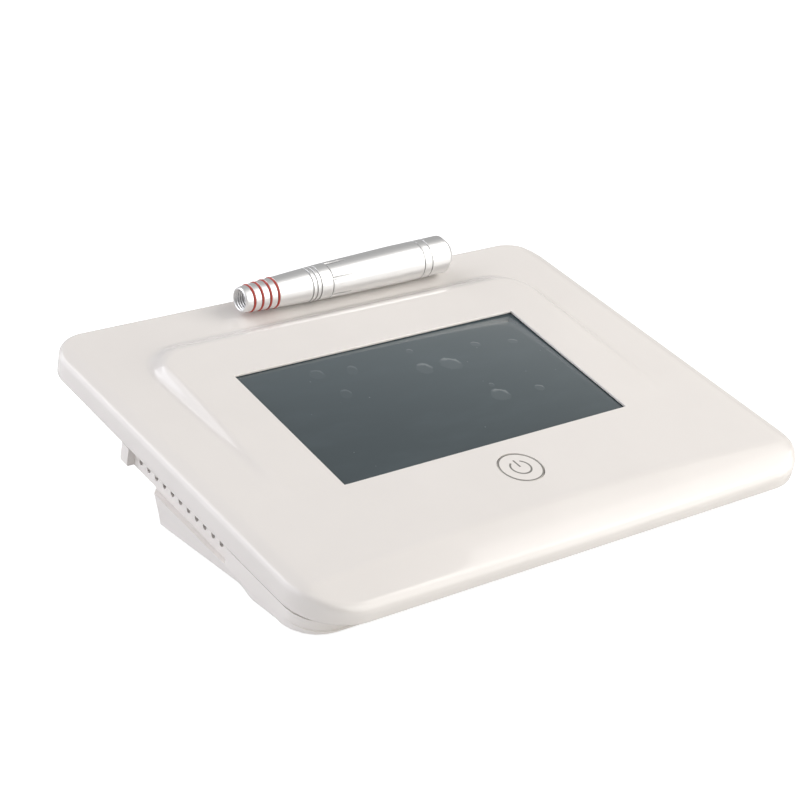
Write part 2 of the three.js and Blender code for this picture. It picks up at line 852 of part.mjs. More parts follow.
function rubberFoot() {
  const ease = footProud / 2;
  return turnedUp([
    [0, 0], [padRadius - ease, 0], [padRadius, ease], [padRadius, padThickness], [0, padThickness],
  ], midSides);
}

// Main board with its connectors, about its middle, its underside at z = 0

function mainBoard() {
  const [hx, hy] = [mainBoardWidth / 2, mainBoardDepth / 2];
  const thick = mainBoardThickness;
  const sit = thick / 2;
  const plug = (x, y, width) => block(
    x - width / 2 - thick, y - connectorHeight / 2, sit,
    x + width / 2 + thick, y + connectorHeight / 2, thick + connectorHeight / 2,
  );
  const chipSide = mainBoardDepth / 4;
  const chips = [
    block(-chipSide / 2, -chipSide / 2, sit, chipSide / 2, chipSide / 2, thick + boardThickness),
    block(chipSide, -chipSide / 2, sit, chipSide + chipSide / 2, chipSide / 4, thick + boardThickness),
  ];
  const board = union([
    block(-hx, -hy, 0, hx, hy, thick),
    plug(-ribbonX, hy - connectorHeight, ribbonWidth),
    plug(ribbonX, hy - connectorHeight, socketCableWidth),
    plug(0, connectorHeight - hy, keyCableWidth),
    ...chips,
  ]);
  const [holeX, holeY] = [hx - boardHoleInset, hy - boardHoleInset];
  const holes = [-1, 1].flatMap((sx) => [-1, 1].map((sy) => bar(
    boardScrewShank + screwClearance, sx * holeX, sy * holeY, -overrun, thick + overrun,
  )));
  return cut(board, holes);
}

// Flat cable: a strip of even thickness along a route of places in the y-z plane, about the plane x = 0
function strip(route, width) {
  const normals = route.map((p, i) => {
    const before = route[Math.max(i - 1, 0)];
    const after = route[Math.min(i + 1, route.length - 1)];
    const along = new THREE.Vector2().subVectors(after, before).normalize();
    return new THREE.Vector2(-along.y, along.x).multiplyScalar(ribbonThickness / 2);
  });
  const shape = new THREE.Shape([
    ...route.map((p, i) => p.clone().add(normals[i])),
    ...route.map((p, i) => p.clone().sub(normals[i])).reverse(),
  ]);
  const geometry = sideways(new THREE.ExtrudeGeometry(shape, { depth: width, bevelEnabled: false }));
  geometry.translate(-width / 2, 0, 0);
  return solid(geometry);
}

// Smooth route through a few places
const bendThrough = (places) => new THREE.SplineCurve(places).getPoints(cableSteps);

const sideOf = (v, w) => new THREE.Vector2(v, w);
const slopePlace = (y, z) => sideOf(y, z).rotateAround(sideOf(0, 0), -slope);
const screenPlace = (v, w) => sideOf(v, w).rotateAround(sideOf(0, 0), screenRise);
const plugTop = mainBoardTop + connectorHeight / 2 + seam;
const rearPlug = slopePlace(mainBoardMiddleY + mainBoardDepth / 2 - connectorHeight, plugTop);
const frontPlug = slopePlace(mainBoardMiddleY - mainBoardDepth / 2 + connectorHeight, plugTop);
const down = sideOf(0, -cableLead);
const up = sideOf(0, cableLead);

function displayRibbon() {
  const start = screenPlace(displayPlugV, displayBottom - plugDrop - seam);
  const route = [start, start.clone().add(down), rearPlug.clone().add(up), rearPlug];
  return strip(bendThrough(route), ribbonWidth);
}

function keyCable() {
  const start = sideOf(keyPlugV - keyReach, keyBoardBottom - boardThickness - seam);
  const route = [start, start.clone().add(down), frontPlug.clone().add(up), frontPlug];
  return strip(bendThrough(route), keyCableWidth);
}

function socketCable() {
  const level = (socketBoardTop + socketBoardBottom) / 2;
  const start = sideOf(socketBoardFront - seam, level);
  const overPlate = sideOf(trayRear - trayWall - cableLead, plateTop + cableLead / 2);
  const route = [
    start, sideOf((start.x + overPlate.x) / 2, plateTop + cableLead / 2), overPlate,
    rearPlug.clone().add(up).add(up), rearPlug,
  ];
  return strip(bendThrough(route), socketCableWidth);
}

// Sockets, about the point where their axis meets the rear face

function socketBody(socket) {
  const round = barrelRadiusOf(socket);
  const isInlet = socket.kind === 'inlet';
  const flange = isInlet ? inletFlangeRadius : jackFlangeRadius;
  const bore = isInlet ? inletBore : jackBore;
  const flangeFront = socketFlangeThickness + seam;
  const bodyFront = -shellWall - seam * 2;
  const housing = block(
    -socketBodyWidth / 2, bodyFront - socketBodyDepth, -socketBodyHeight / 2,
    socketBodyWidth / 2, bodyFront, socketBodyHeight / 2,
  );
  const neck = crossBar(round, 0, 0, bodyFront - seam, flangeFront - socketFlangeThickness / 2);
  const lip = crossBar(flange, 0, 0, seam, flangeFront, midSides);
  const hole = crossBar(bore, 0, 0, flangeFront - jackDepth, flangeFront + overrun);
  const body = union([housing, neck, lip]).subtract(hole);
  return isInlet ? body.add(crossBar(inletPin, 0, 0, flangeFront - jackDepth - seam, -seam)) : body;
}

function socketBoard() {
  return block(-socketBoardHalf, socketBoardFront, -boardThickness, socketBoardHalf, socketBoardBack, 0);
}

// Handpiece, along x from its open front end

const penLength = gripLength + barrelLength + capLength;
const gripEnd = gripLength;
const barrelEnd = gripLength + barrelLength;
const spigotRadius = barrelBore - pressGap;
const chamberStart = mouthDepth + bushLength;

// Outer radius of the handpiece along its length
function penRadiusAt(x) {
  if (x <= gripLength) {
    return penMouthRadius + (penWaistRadius - penMouthRadius) * (x / gripLength) ** gripSwellShare;
  }
  const share = Math.min((x - gripLength) / (barrelLength * barrelTaperShare), 1);
  return penWaistRadius + (penRadius - penWaistRadius) * share;
}

const groovePoints = (x, width, depth) => [
  [x - width / 2, penRadiusAt(x - width / 2)], [x - width / 2, penRadiusAt(x) - depth],
  [x + width / 2, penRadiusAt(x) - depth], [x + width / 2, penRadiusAt(x + width / 2)],
];

const ringPlaces = Array.from({ length: ringCount }, (_, i) => ringFirst + i * ringPitch);

function penGrip() {
  const step = gripLength / gripSteps;
  const ringSeat = 2 * ringWire + 2 * pressGap;
  const grooves = [
    ...ringPlaces.flatMap((x) => groovePoints(x, ringSeat, ringWire + ringSink + pressGap)),
    ...Array.from({ length: gripGrooveCount }, (_, i) => gripGrooveFirst + i * gripGroovePitch)
      .flatMap((x) => groovePoints(x, grooveWidth, grooveDepth)),
  ];
  const clearOf = (x) => grooves.every(([place]) => Math.abs(place - x) > step / 4);
  const cone = Array.from({ length: gripSteps }, (_, i) => (i + 1 / 2) * step)
    .filter(clearOf).map((x) => [x, penRadiusAt(x)]);
  const outside = [...grooves, ...cone].sort((a, b) => a[0] - b[0]);
  const ease = grooveDepth;
  return turned([
    [mouthDepth, 0], [mouthDepth, mouthBore], [ease, mouthBore], [0, mouthBore + ease],
    [0, penMouthRadius - ease], [ease, penMouthRadius], ...outside,
    [gripEnd - ease, penWaistRadius], [gripEnd, penWaistRadius - ease], [gripEnd, spigotRadius],
    [gripEnd + spigotLength, spigotRadius], [gripEnd + spigotLength, 0],
  ], bigSides).subtract(gripBores());
}

function gripBores() {
  const through = turned([
    [mouthDepth - overrun, 0], [mouthDepth - overrun, bushRadius + pressGap],
    [chamberStart + overrun, bushRadius + pressGap], [chamberStart + overrun, 0],
  ]);
  const chamber = turned([
    [chamberStart, 0], [chamberStart, chamberRadius],
    [gripEnd + spigotLength + overrun, chamberRadius], [gripEnd + spigotLength + overrun, 0],
  ], midSides);
  return through.add(chamber);
}

function gripRing(x) {
  const seat = penRadiusAt(x) - ringSink - ringWire;
  const section = Array.from({ length: wireSides + 1 }, (_, i) => {
    const angle = i / wireSides * Math.PI * 2;
    return new THREE.Vector2(seat + ringWire * (1 + Math.cos(angle)), x + ringWire * Math.sin(angle));
  });
  const geometry = new THREE.LatheGeometry(section, bigSides);
  geometry.rotateZ(-Math.PI / 2);
  return solid(geometry);
}

function penBarrel() {
  const front = gripEnd + seam;
  const fullFrom = gripEnd + barrelLength * barrelTaperShare;
  const body = turned([
    [front, 0], [front, penWaistRadius - grooveDepth], [front + grooveDepth, penRadiusAt(front)],
    [fullFrom, penRadius], [barrelEnd - grooveDepth, penRadius],
    [barrelEnd, penRadius - grooveDepth], [barrelEnd, 0],
  ], bigSides);
  const bore = turned([
    [front - overrun, 0], [front - overrun, barrelBore],
    [barrelEnd + overrun, barrelBore], [barrelEnd + overrun, 0],
  ], bigSides);
  return cut(body, [bore, ...fluteCutters(front)]);
}

// Shallow flutes that start at the seam and run out on the barrel
function fluteCutters(front) {
  const lean = Math.atan(fluteDepth / fluteLength);
  return Array.from({ length: fluteCount }, (_, i) => {
    const geometry = new THREE.CylinderGeometry(fluteRadius, fluteRadius, fluteLength * 2, smallSides);
    geometry.rotateZ(-Math.PI / 2);
    geometry.rotateY(-lean);
    geometry.translate(front, 0, penWaistRadius + fluteRadius - fluteDepth);
    geometry.rotateX(i / fluteCount * Math.PI * 2);
    return solid(geometry);
  });
}

function penCap() {
  const front = barrelEnd + seam;
  const grooveX = barrelEnd + capGrooveInset;
  const end = penLength;
  const body = turned([
    [front - spigotLength, 0], [front - spigotLength, spigotRadius], [front, spigotRadius],
    [front, penRadius - grooveDepth], [front + grooveDepth, penRadius],
    ...groovePoints(grooveX, grooveWidth, grooveDepth),
    [end - capChamfer, penRadius], [end - seam, capEndRadius + seam], [end, capEndRadius], [end, 0],
  ], bigSides);
  const chamber = turned([
    [front - spigotLength - overrun, 0], [front - spigotLength - overrun, spigotRadius - spigotWall],
    [rearSocketFront + rearSocketLength + seam, spigotRadius - spigotWall],
    [rearSocketFront + rearSocketLength + seam, 0],
  ], midSides);
  const mouth = turned([
    [front, 0], [front, rearMouthBore], [end + overrun, rearMouthBore], [end + overrun, 0],
  ]);
  return cut(body, [chamber, mouth]);
}

const rearSocketFront = penLength - capChamfer - rearSocketLength;

function penSocket() {
  const [front, back] = [rearSocketFront, rearSocketFront + rearSocketLength];
  const flange = spigotRadius - spigotWall - pressGap;
  return turned([
    [front, 0], [front, flange], [front + spigotWall, flange], [front + spigotWall, rearSocketRadius],
    [back, rearSocketRadius], [back, rearSocketBore], [back - rearSocketDepth, rearSocketBore],
    [back - rearSocketDepth, 0],
  ]);
}

function guideBush() {
  const flangeEnd = chamberStart + bushFlange;
  const body = turned([
    [mouthDepth + seam, 0], [mouthDepth + seam, bushRadius], [chamberStart + seam, bushRadius],
    [chamberStart + seam, chamberRadius - bushFlange],
    [flangeEnd, chamberRadius - bushFlange], [flangeEnd, 0],
  ]);
  const bore = turned([
    [mouthDepth - overrun, 0], [mouthDepth - overrun, bushBore],
    [flangeEnd + overrun, bushBore], [flangeEnd + overrun, 0],
  ]);
  return body.subtract(bore);
}

// Where the slanting cam face meets a point this far from the axis on its high side
const camReach = stroke / 2 / followerOffset;
const camFaceAt = (radius) => camMiddle - camReach * radius;

// The needle bar with its head and the follower that the cam pushes
function needleBar() {
  const headBack = headPlace + headThickness;
  const body = turned([
    [needleBarTip, 0], [needleBarTip, needleBarRadius * crownShare],
    [needleBarTip + needleBarRadius, needleBarRadius],
    [headPlace, needleBarRadius], [headPlace, headRadius], [headBack, headRadius], [headBack, 0],
  ]);
  const [root, tip] = [headBack - headThickness / 2, camFaceAt(followerOffset + followerRadius) - runningGap];
  const follower = new THREE.CylinderGeometry(followerRadius, followerRadius, tip - root, smallSides);
  follower.rotateZ(-Math.PI / 2);
  follower.translate((root + tip) / 2, 0, followerOffset);
  return body.add(solid(follower));
}

// Round cam with a slanting face: its high side meets the follower at rest
function driveCam() {
  const lean = Math.atan(camReach);
  const body = turned([
    [camMiddle - stroke * 2, 0], [camMiddle - stroke * 2, camRadius], [camBack, camRadius], [camBack, 0],
  ], midSides);
  const waste = new THREE.BoxGeometry(stroke * 8, camRadius * 4, camRadius * 4);
  waste.translate(-stroke * 4, 0, 0);
  waste.rotateY(-lean);
  waste.translate(camMiddle, 0, 0);
  const bore = turned([
    [shaftFront - seam, 0], [shaftFront - seam, shaftRadius + pressGap],
    [camBack + overrun, shaftRadius + pressGap], [camBack + overrun, 0],
  ]);
  return cut(body, [solid(waste), bore]);
}

const motorFront = gripEnd + spigotLength + runningGap;
const shaftBack = motorFront + shaftBite;

function motorShaft() {
  return turned([[shaftFront, 0], [shaftFront, shaftRadius], [shaftBack, shaftRadius], [shaftBack, 0]]);
}

function motorCase() {
  const [front, back] = [motorFront, motorFront + motorLength];
  const body = turned([
    [front, 0], [front, motorBossRadius], [front + headThickness, motorBossRadius],
    [front + headThickness, motorRadius - grooveDepth], [front + headThickness + grooveDepth, motorRadius],
    [back - headThickness, motorRadius], [back - headThickness, motorRadius - headThickness],
    [back, motorRadius - headThickness], [back, 0],
  ], midSides);
  const bore = turned([
    [front - overrun, 0], [front - overrun, shaftRadius + runningGap],
    [shaftBack + runningGap, shaftRadius + runningGap], [shaftBack + runningGap, 0],
  ]);
  return body.subtract(bore);
}

function motorLead() {
  const [front, back] = [motorFront + motorLength + seam, rearSocketFront - seam];
  return turned([[front, 0], [front, leadRadius], [back, leadRadius], [back, 0]], wireSides);
}

// Coil spring: one round wire on a helix in front of the needle bar's head. It rides with the bar,
// and one stroke is left free between it and the bush.
function returnSpring() {
  const start = chamberStart + bushFlange + stroke + seam + springWire;
  const end = headPlace - seam - springWire;
  const count = springTurns * springSidesPerTurn;
  const rings = Array.from({ length: count + 1 }, (_, i) => {
    const angle = i / springSidesPerTurn * Math.PI * 2;
    const out = new THREE.Vector3(0, Math.cos(angle), Math.sin(angle));
    const middle = out.clone().multiplyScalar(springRadius).setX(start + (end - start) * i / count);
    return Array.from({ length: wireSides }, (_, k) => {
      const turn = k / wireSides * Math.PI * 2;
      return middle.clone().addScaledVector(out, springWire * Math.cos(turn))
        .add(new THREE.Vector3(springWire * Math.sin(turn), 0, 0));
    });
  });
  return tube(rings);
}

// Closed tube through small rings, each end closed by a fan
function tube(rings) {
  const count = rings[0].length;
  const positions = rings.flat().flatMap((p) => [p.x, p.y, p.z]);
  const index = [];
  for (let r = 0; r + 1 < rings.length; r += 1) {
    for (let i = 0; i < count; i += 1) {
      const next = (i + 1) % count;
      const [a, b, c, d] = [r * count + i, r * count + next, (r + 1) * count + i, (r + 1) * count + next];
      index.push(a, b, d, a, d, c);
    }
  }
  const last = (rings.length - 1) * count;
  for (let i = 1; i + 1 < count; i += 1) {
    index.push(0, i + 1, i, last, last + i, last + i + 1);
  }
  const geometry = new THREE.BufferGeometry();
  geometry.setAttribute('position', new THREE.Float32BufferAttribute(positions, 3));
  geometry.setIndex(index);
  return solid(geometry);
}

// Finishes

const finishes = {
  shell: [0xf0ede6, 0.12, 0],
  glass: [0x58646a, 0.1, 0],
  foam: [0x1c1d1f, 0.9, 0],
  metal: [0xb9bcc0, 0.35, 0.9],
  satin: [0xd2d3d4, 0.28, 1],
  red: [0xa33a34, 0.5, 0],
  rubber: [0x2a2a2c, 0.85, 0],
  board: [0x1f5a3a, 0.5, 0],
  black: [0x222326, 0.4, 0],
  cable: [0xd8d8d2, 0.5, 0],
  brass: [0xb79a55, 0.3, 0.9],
};

function mesh(name, body, finish) {
  const [color, roughness, metalness] = finishes[finish];
  const material = new THREE.MeshStandardMaterial({ color, roughness, metalness });
  const made = new THREE.Mesh(geometryOf(body), material);
  made.name = name;
  return made;
}

function group(members, place = [0, 0, 0]) {
  const made = new THREE.Group();
  made.add(...members);
  made.position.set(...place);
  return made;
}

// Assembly

function screenStack() {
  const stack = group([
    mesh('touch_glass', touchGlass(), 'glass'),
    mesh('screen_gasket', screenGasket(), 'foam'),
    mesh('display_panel', displayPanel(), 'metal'),
    mesh('display_frame', displayFrame(), 'metal'),
    ...displayPostPlaces.map(([x, v], i) => group(
      [mesh(`display_screw_${i + 1}`, boardScrew(), 'metal')], [x, v, frameBottom - seam],
    )),
  ]);
  stack.rotation.x = screenRise;
  return stack;
}

function keyGroup() {
  return group([
    mesh('power_key', powerKey(), 'shell'),
    mesh('key_switch_stem', keySwitchStem(), 'black'),
    mesh('key_switch', keySwitch(), 'black'),
    mesh('key_board', keyBoard(), 'board'),
    ...sides.map(([name, side]) => group(
      [mesh(`key_board_screw_${name}`, boardScrew(), 'metal')], [side * keyScrewX, 0, keyBoardBottom - seam],
    )),
  ], [0, -keyReach, 0]);
}

function socketGroup() {
  const row = socketPlaces.map((socket) => group(
    [mesh(socket.name, socketBody(socket), 'black')], [socket.x, backReach, socketCentre],
  ));
  const board = group([mesh('socket_board', socketBoard(), 'board')], [0, 0, socketBoardTop]);
  return group([...row, board]);
}

function caseScrews() {
  return caseScrewPlaces.flatMap((place) => sides.map(([name, side]) => group(
    [mesh(`case_screw_${place.name}_${name}`, caseScrew(), 'metal')],
    [side * place.x, place.v, caseScrewSeat(place) - seam / 2],
  )));
}

function slopeGroup() {
  const made = group([
    mesh('top_shell', topShell(), 'shell'),
    mesh('base_shell', baseShell(), 'shell'),
    screenStack(),
    keyGroup(),
    socketGroup(),
    group([mesh('display_ribbon', displayRibbon(), 'cable')], [-ribbonX, 0, 0]),
    mesh('key_cable', keyCable(), 'cable'),
    group([mesh('socket_cable', socketCable(), 'cable')], [ribbonX, 0, 0]),
    ...caseScrews(),
    handpiece(),
  ]);
  made.rotation.x = slope;
  return made;
}

function levelGroup() {
  const feet = padPlaces.map(([name, x, y]) => group(
    [mesh(`rubber_foot_${name}`, rubberFoot(), 'rubber')], [x, y, tableHeight],
  ));
  const board = group([mesh('main_board', mainBoard(), 'board')], [0, mainBoardMiddleY, mainBoardBottom]);
  const screws = boardScrewPlaces.map(([x, y], i) => {
    const made = group([mesh(`board_screw_${i + 1}`, boardScrew(), 'metal')], [x, y, mainBoardTop + seam]);
    made.rotation.x = Math.PI;
    return made;
  });
  return group([...feet, board, ...screws]);
}

// The handpiece lies on the ledge on its widest part, its front end leaning down
function handpiece() {
  const lean = Math.atan((penRadius - penWaistRadius) / (barrelLength * barrelTaperShare));
  const made = group([
    mesh('pen_grip', penGrip(), 'satin'),
    ...ringPlaces.map((x, i) => mesh(`grip_ring_${i + 1}`, gripRing(x), 'red')),
    mesh('pen_barrel', penBarrel(), 'satin'),
    mesh('pen_cap', penCap(), 'satin'),
    mesh('pen_socket', penSocket(), 'black'),
    mesh('guide_bush', guideBush(), 'brass'),
    mesh('return_spring', returnSpring(), 'metal'),
    mesh('needle_bar', needleBar(), 'metal'),
    mesh('drive_cam', driveCam(), 'black'),
    mesh('motor_shaft', motorShaft(), 'metal'),
    mesh('motor_case', motorCase(), 'metal'),
    mesh('motor_lead', motorLead(), 'red'),
  ]);
  const waistHeight = penWaistRadius / Math.cos(lean) + seam;
  made.rotation.y = -lean;
  made.position.set(penFrontX, penLedgeV, waistHeight - gripEnd * Math.sin(lean));
  return made;
}

const machine = new THREE.Group();
const parts = group([slopeGroup(), levelGroup()]);
machine.add(parts);
machine.updateMatrixWorld(true);
const extent = new THREE.Box3().setFromObject(machine, true);
parts.position.set(0, -(extent.min.y + extent.max.y) / 2, -extent.min.z);
machine.updateMatrixWorld(true);

export default machine;
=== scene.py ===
"""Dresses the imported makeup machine: smooth cover, base and handpiece, with their finishes and a stage."""

import math

import bmesh
import bpy
import numpy as np
from mathutils import Matrix, Vector


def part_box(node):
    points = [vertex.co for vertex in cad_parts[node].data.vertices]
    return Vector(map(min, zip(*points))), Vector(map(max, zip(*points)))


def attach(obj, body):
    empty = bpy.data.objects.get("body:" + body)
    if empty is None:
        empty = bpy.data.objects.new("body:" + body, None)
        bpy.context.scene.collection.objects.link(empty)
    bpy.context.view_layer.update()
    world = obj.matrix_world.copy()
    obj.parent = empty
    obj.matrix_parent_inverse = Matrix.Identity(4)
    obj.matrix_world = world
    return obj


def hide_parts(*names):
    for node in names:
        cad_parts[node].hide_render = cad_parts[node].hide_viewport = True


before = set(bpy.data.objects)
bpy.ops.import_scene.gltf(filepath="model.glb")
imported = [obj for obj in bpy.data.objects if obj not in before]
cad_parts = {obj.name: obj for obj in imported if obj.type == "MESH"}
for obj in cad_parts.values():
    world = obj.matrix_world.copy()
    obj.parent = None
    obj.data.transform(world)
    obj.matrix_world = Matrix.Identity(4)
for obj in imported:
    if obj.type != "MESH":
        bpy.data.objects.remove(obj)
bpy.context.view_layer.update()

bl_info = {
    "name": "Makeup machine",
    "version": (1, 0, 0),
    "blender": (4, 5, 0),
    "location": "View3D > Sidebar > Makeup machine",
    "description": "Smooth covers, handpiece and finishes for a desk makeup machine",
    "category": "Add Mesh",
}

MM = 0.001

# The slope frame, in millimetres: x across, v up the slope, w square to the cover.
# Its origin is the middle of the screen opening's front edge.
SLOPE = math.radians(9.7)
ORIGIN = Vector((0.0, -40.304, 28.0))

# The cover's outline, its lower edge and its wall
HALF = 136.5
FRONT = -66.9
BACK = 144.5
RIM = -11.5
FRONT_CORNER = 25.0
BACK_CORNER = 18.0
WALL = 2.5

# The raised panel: how fast it rises, its outline and the width of its flank at the sides and the back
RISE = math.tan(math.radians(2.3))
PANEL_HALF = 103.0
PANEL_BACK = 111.0
PANEL_CORNER = 15.0
FLARE = 4.5
BACK_FLARE = 8.0

# The screen opening and its middle, the lip at its edge, and the pocket's half width, front and back
OPENING_HALF = 78.0
OPENING_BACK = 83.5
MIDDLE = np.array([0.0, OPENING_BACK / 2])
LIP = 1.0
POCKET = (82.8, -4.8, 93.8)

# The front band falls away from its arched crest, and the sides roll off
CREST = 44.3
CREST_SAG = 6.3
BAND_SLOPE = 4.0 / 18.7
SIDE_CREST = 129.6
SIDE_SLOPE = math.tan(math.radians(15))

# How soft the start of the panel's rise and its creases are at least, the round at the cover's foot,
# and the step where its wall and roof meet
RISE_START = 0.12
LEAST_CREASE = 0.02
FOOT_ROUND = 0.5
COVE = 2.0

# The cover's mesh: a length past all its edges, where its rings round the panel begin, and a strip
# along its edge that they keep clear of
FAR = 400.0
RINGS_FRONT = -6.0
EDGE_STRIP = 8.0

# The power key: its place, radius, hole, top edge's easing across and down, flange and stub under it
KEY_V = -19.5
KEY_RADIUS = 10.0
KEY_HOLE = 10.4
KEY_EASE = (0.28, 0.25)
FLANGE_RADIUS = 11.4
FLANGE_TOP = -2.8
FLANGE_FOOT = -4.0
STUB_RADIUS = 3.0
STUB_FOOT = -4.6

# The key's print: radius and half width of the ring and of the sign's arc, and both ends of the sign's stroke
PRINT_RING = (9.62, 0.3)
PRINT_ARC = (4.6, 0.42)
PRINT_STROKE = (0.3, 5.4)

# The ports in the back: their height, and the place and radius of each
PORT_W = -6.3
PORTS = ((-36.0, 3.8), (-12.0, 3.3), (12.0, 3.3), (36.0, 3.3))

# The ground edge of the touch glass
GLASS_EDGE = 0.2

# How far the cutters stand out of the cover, and how deep those of the key and the ports reach
CUT_OUT = 4.0
KEY_CUT = 8.0
PORT_CUT = 6.0

# The handpiece: where its open end lies, its radii, and the ends of its pieces along its axis from there
PEN_X = -44.8
PEN_V = 131.6
MOUTH = 5.7
WAIST = 8.4
BARREL = 9.17
GRIP_END = 46.4
BARREL_END = 99.4
PEN_END = 118.0

# Its grip swells by this power of the length, and its seams are eased at both edges
GRIP_POWER = 0.68
SEAM = 0.3
EASE = 0.25

# Its rings and grooves along the axis, and width and depth of each kind of groove
RINGS = (4.4, 8.6, 12.8, 17.0)
FINE_GROOVES = (35.5, 37.8, 40.1)
RING_GROOVE = (1.3, 0.9)
FINE_GROOVE = (0.7, 0.35)
CAP_GROOVE = (0.5, 0.35)

# The barrel swells over this share of its length, and the handpiece leans by that swelling
SWELL_SHARE = 0.75
FULL_FROM = GRIP_END + (BARREL_END - GRIP_END) * SWELL_SHARE
PEN_LEAN = math.atan((BARREL - WAIST) / (FULL_FROM - GRIP_END))

# Inside the handpiece: threaded bore, neck, hollow behind it, spigots, bores, and the connector's hole
THREAD_RADIUS = 4.6
THREAD_END = 12.6
THREAD_STEP = 0.125
NECK_RADIUS = 3.1
NECK = (13.0, 20.0)
HOLLOW_RADIUS = 6.2
SPIGOT_RADIUS = 7.1
SPIGOT_END = 52.4
CAP_SPIGOT = 6.0
BARREL_BORE = 7.2
CAP_BORE = 5.9
SOCKET_RADIUS = 3.2
SOCKET_FACE = 3.0

# Six finger flutes round the barrel's front, cut by a round tool
FLUTES = 6
FLUTE_TURN = 25.0
FLUTE_RADIUS = 1.2

# The last ring's moulding nub: where it stands, its height and its half width as an angle
NUB_TURN = math.radians(196)
NUB_HEIGHT = 0.22
NUB_HALF = 0.12

# The return spring: its ends, coil radius and wire radius
SPRING = (24.2, 32.7)
COIL_RADIUS = 2.5
SPRING_WIRE = 0.35

# Screws: radius of shank and head, the head's rise, and length, then the thread's pitch
CASE_SCREW = (1.5, 2.9, 1.8, 6.8)
BOARD_SCREW = (1.1, 2.1, 1.2, 5.0)
SCREW_PITCH = 0.35

# Edges that turn more than this are sharp, in degrees, on most pieces, turned and moulded ones, wire,
# and rubber or ground glass
SHARP = 35.0
SHARP_TURNED = 30.0
SHARP_MOULDED = 28.0
SHARP_WIRE = 40.0
SHARP_SOFT = 60.0

# Sides of a turned piece
TURNED_SIDES = 144

# The lamps: place and size in metres, power in watts, and colour
LAMPS = {
    "right box": ((0.62, -0.22, 0.62), (0.5, 0.5), 2.3, (1.0, 0.96, 0.92)),
    "left box": ((-1.25, 0.8, 0.65), (2.4, 1.8), 22.0, (0.93, 0.94, 1.0)),
    "back box": ((-0.62, 0.9, 1.38), (1.2, 0.9), 6.5, (0.97, 0.97, 1.0)),
    "front box": ((1.15, -1.4, 0.75), (3.2, 2.0), 41.0, (1.0, 0.985, 0.95)),
}
LAMP_AIM = Vector((0, 0, 0.03))
FLOOR_HALF = 6.0

# The photograph's camera, solved from the opening's corners: place in metres, axes and focal length
CAMERA_PLACE = (-0.55221, -0.65582, 0.40901)
CAMERA_AXES = ((0.7912, 0.2026, -0.577), (-0.6086, 0.3536, -0.7103), (0.0602, 0.9132, 0.4030))
LENS = 95.95


class CoverSizes(bpy.types.PropertyGroup):
    """Rounds and spacing of the cover's mesh."""
    edge_round: bpy.props.FloatProperty(
        name="Edge round", description="Radius along the sides and the back", default=2.5 * MM,
        min=0.5 * MM, unit="LENGTH")
    nose_round: bpy.props.FloatProperty(
        name="Nose round", description="Radius along the front", default=5 * MM, min=0.5 * MM, unit="LENGTH")
    crease_round: bpy.props.FloatProperty(
        name="Crease round", description="How far the panel's creases are softened", default=1.6 * MM,
        min=0.1 * MM, unit="LENGTH")
    crest_round: bpy.props.FloatProperty(
        name="Crest round", description="How far the front band's crest is softened", default=0.4 * MM,
        min=0.05 * MM, unit="LENGTH")
    lip_round: bpy.props.FloatProperty(
        name="Lip round", description="Radius of the screen opening's edge", default=0.4 * MM, min=0.05 * MM,
        unit="LENGTH")
    spacing: bpy.props.FloatProperty(
        name="Spacing", description="Distance between places round the cover", default=2.4 * MM, min=1 * MM,
        unit="LENGTH")


class HandpieceSizes(bpy.types.PropertyGroup):
    """Details of the handpiece."""
    thread_pitch: bpy.props.FloatProperty(
        name="Thread pitch", description="Pitch of the mouth's thread", default=1.25 * MM, min=0.3 * MM,
        unit="LENGTH")
    thread_depth: bpy.props.FloatProperty(
        name="Thread depth", description="Depth of the mouth's thread", default=0.4 * MM, min=0.05 * MM,
        unit="LENGTH")
    flute_length: bpy.props.FloatProperty(
        name="Flute length", description="Length of the finger flutes", default=11 * MM, min=1 * MM,
        unit="LENGTH")
    flute_depth: bpy.props.FloatProperty(
        name="Flute depth", description="Depth of the finger flutes at the seam", default=0.5 * MM,
        min=0.05 * MM, unit="LENGTH")
    ring_wire: bpy.props.FloatProperty(
        name="Ring wire", description="Half the thickness of a grip ring", default=0.55 * MM, min=0.1 * MM,
        unit="LENGTH")
    spring_turns: bpy.props.IntProperty(
        name="Spring turns", description="Turns of the return spring", default=6, min=2, max=20)


class Finishes(bpy.types.PropertyGroup):
    """Colours that a user would change."""
    shell: bpy.props.FloatVectorProperty(
        name="Shell", description="Cover, base and key", subtype="COLOR",
        default=(0.80, 0.765, 0.735), size=3, min=0, max=1)
    screen: bpy.props.FloatVectorProperty(
        name="Screen", description="Touch glass over the dark display", subtype="COLOR",
        default=(0.066, 0.085, 0.094), size=3, min=0, max=1)
    metal: bpy.props.FloatVectorProperty(
        name="Handpiece metal", description="Satin metal of the handpiece", subtype="COLOR",
        default=(0.80, 0.80, 0.80), size=3, min=0, max=1)
    ring: bpy.props.FloatVectorProperty(
        name="Rings", description="Grip rings", subtype="COLOR",
        default=(0.42, 0.05, 0.035), size=3, min=0, max=1)
    print_colour: bpy.props.FloatVectorProperty(
        name="Print", description="Ring and sign on the power key", subtype="COLOR",
        default=(0.145, 0.14, 0.125), size=3, min=0, max=1)


# Shader maths

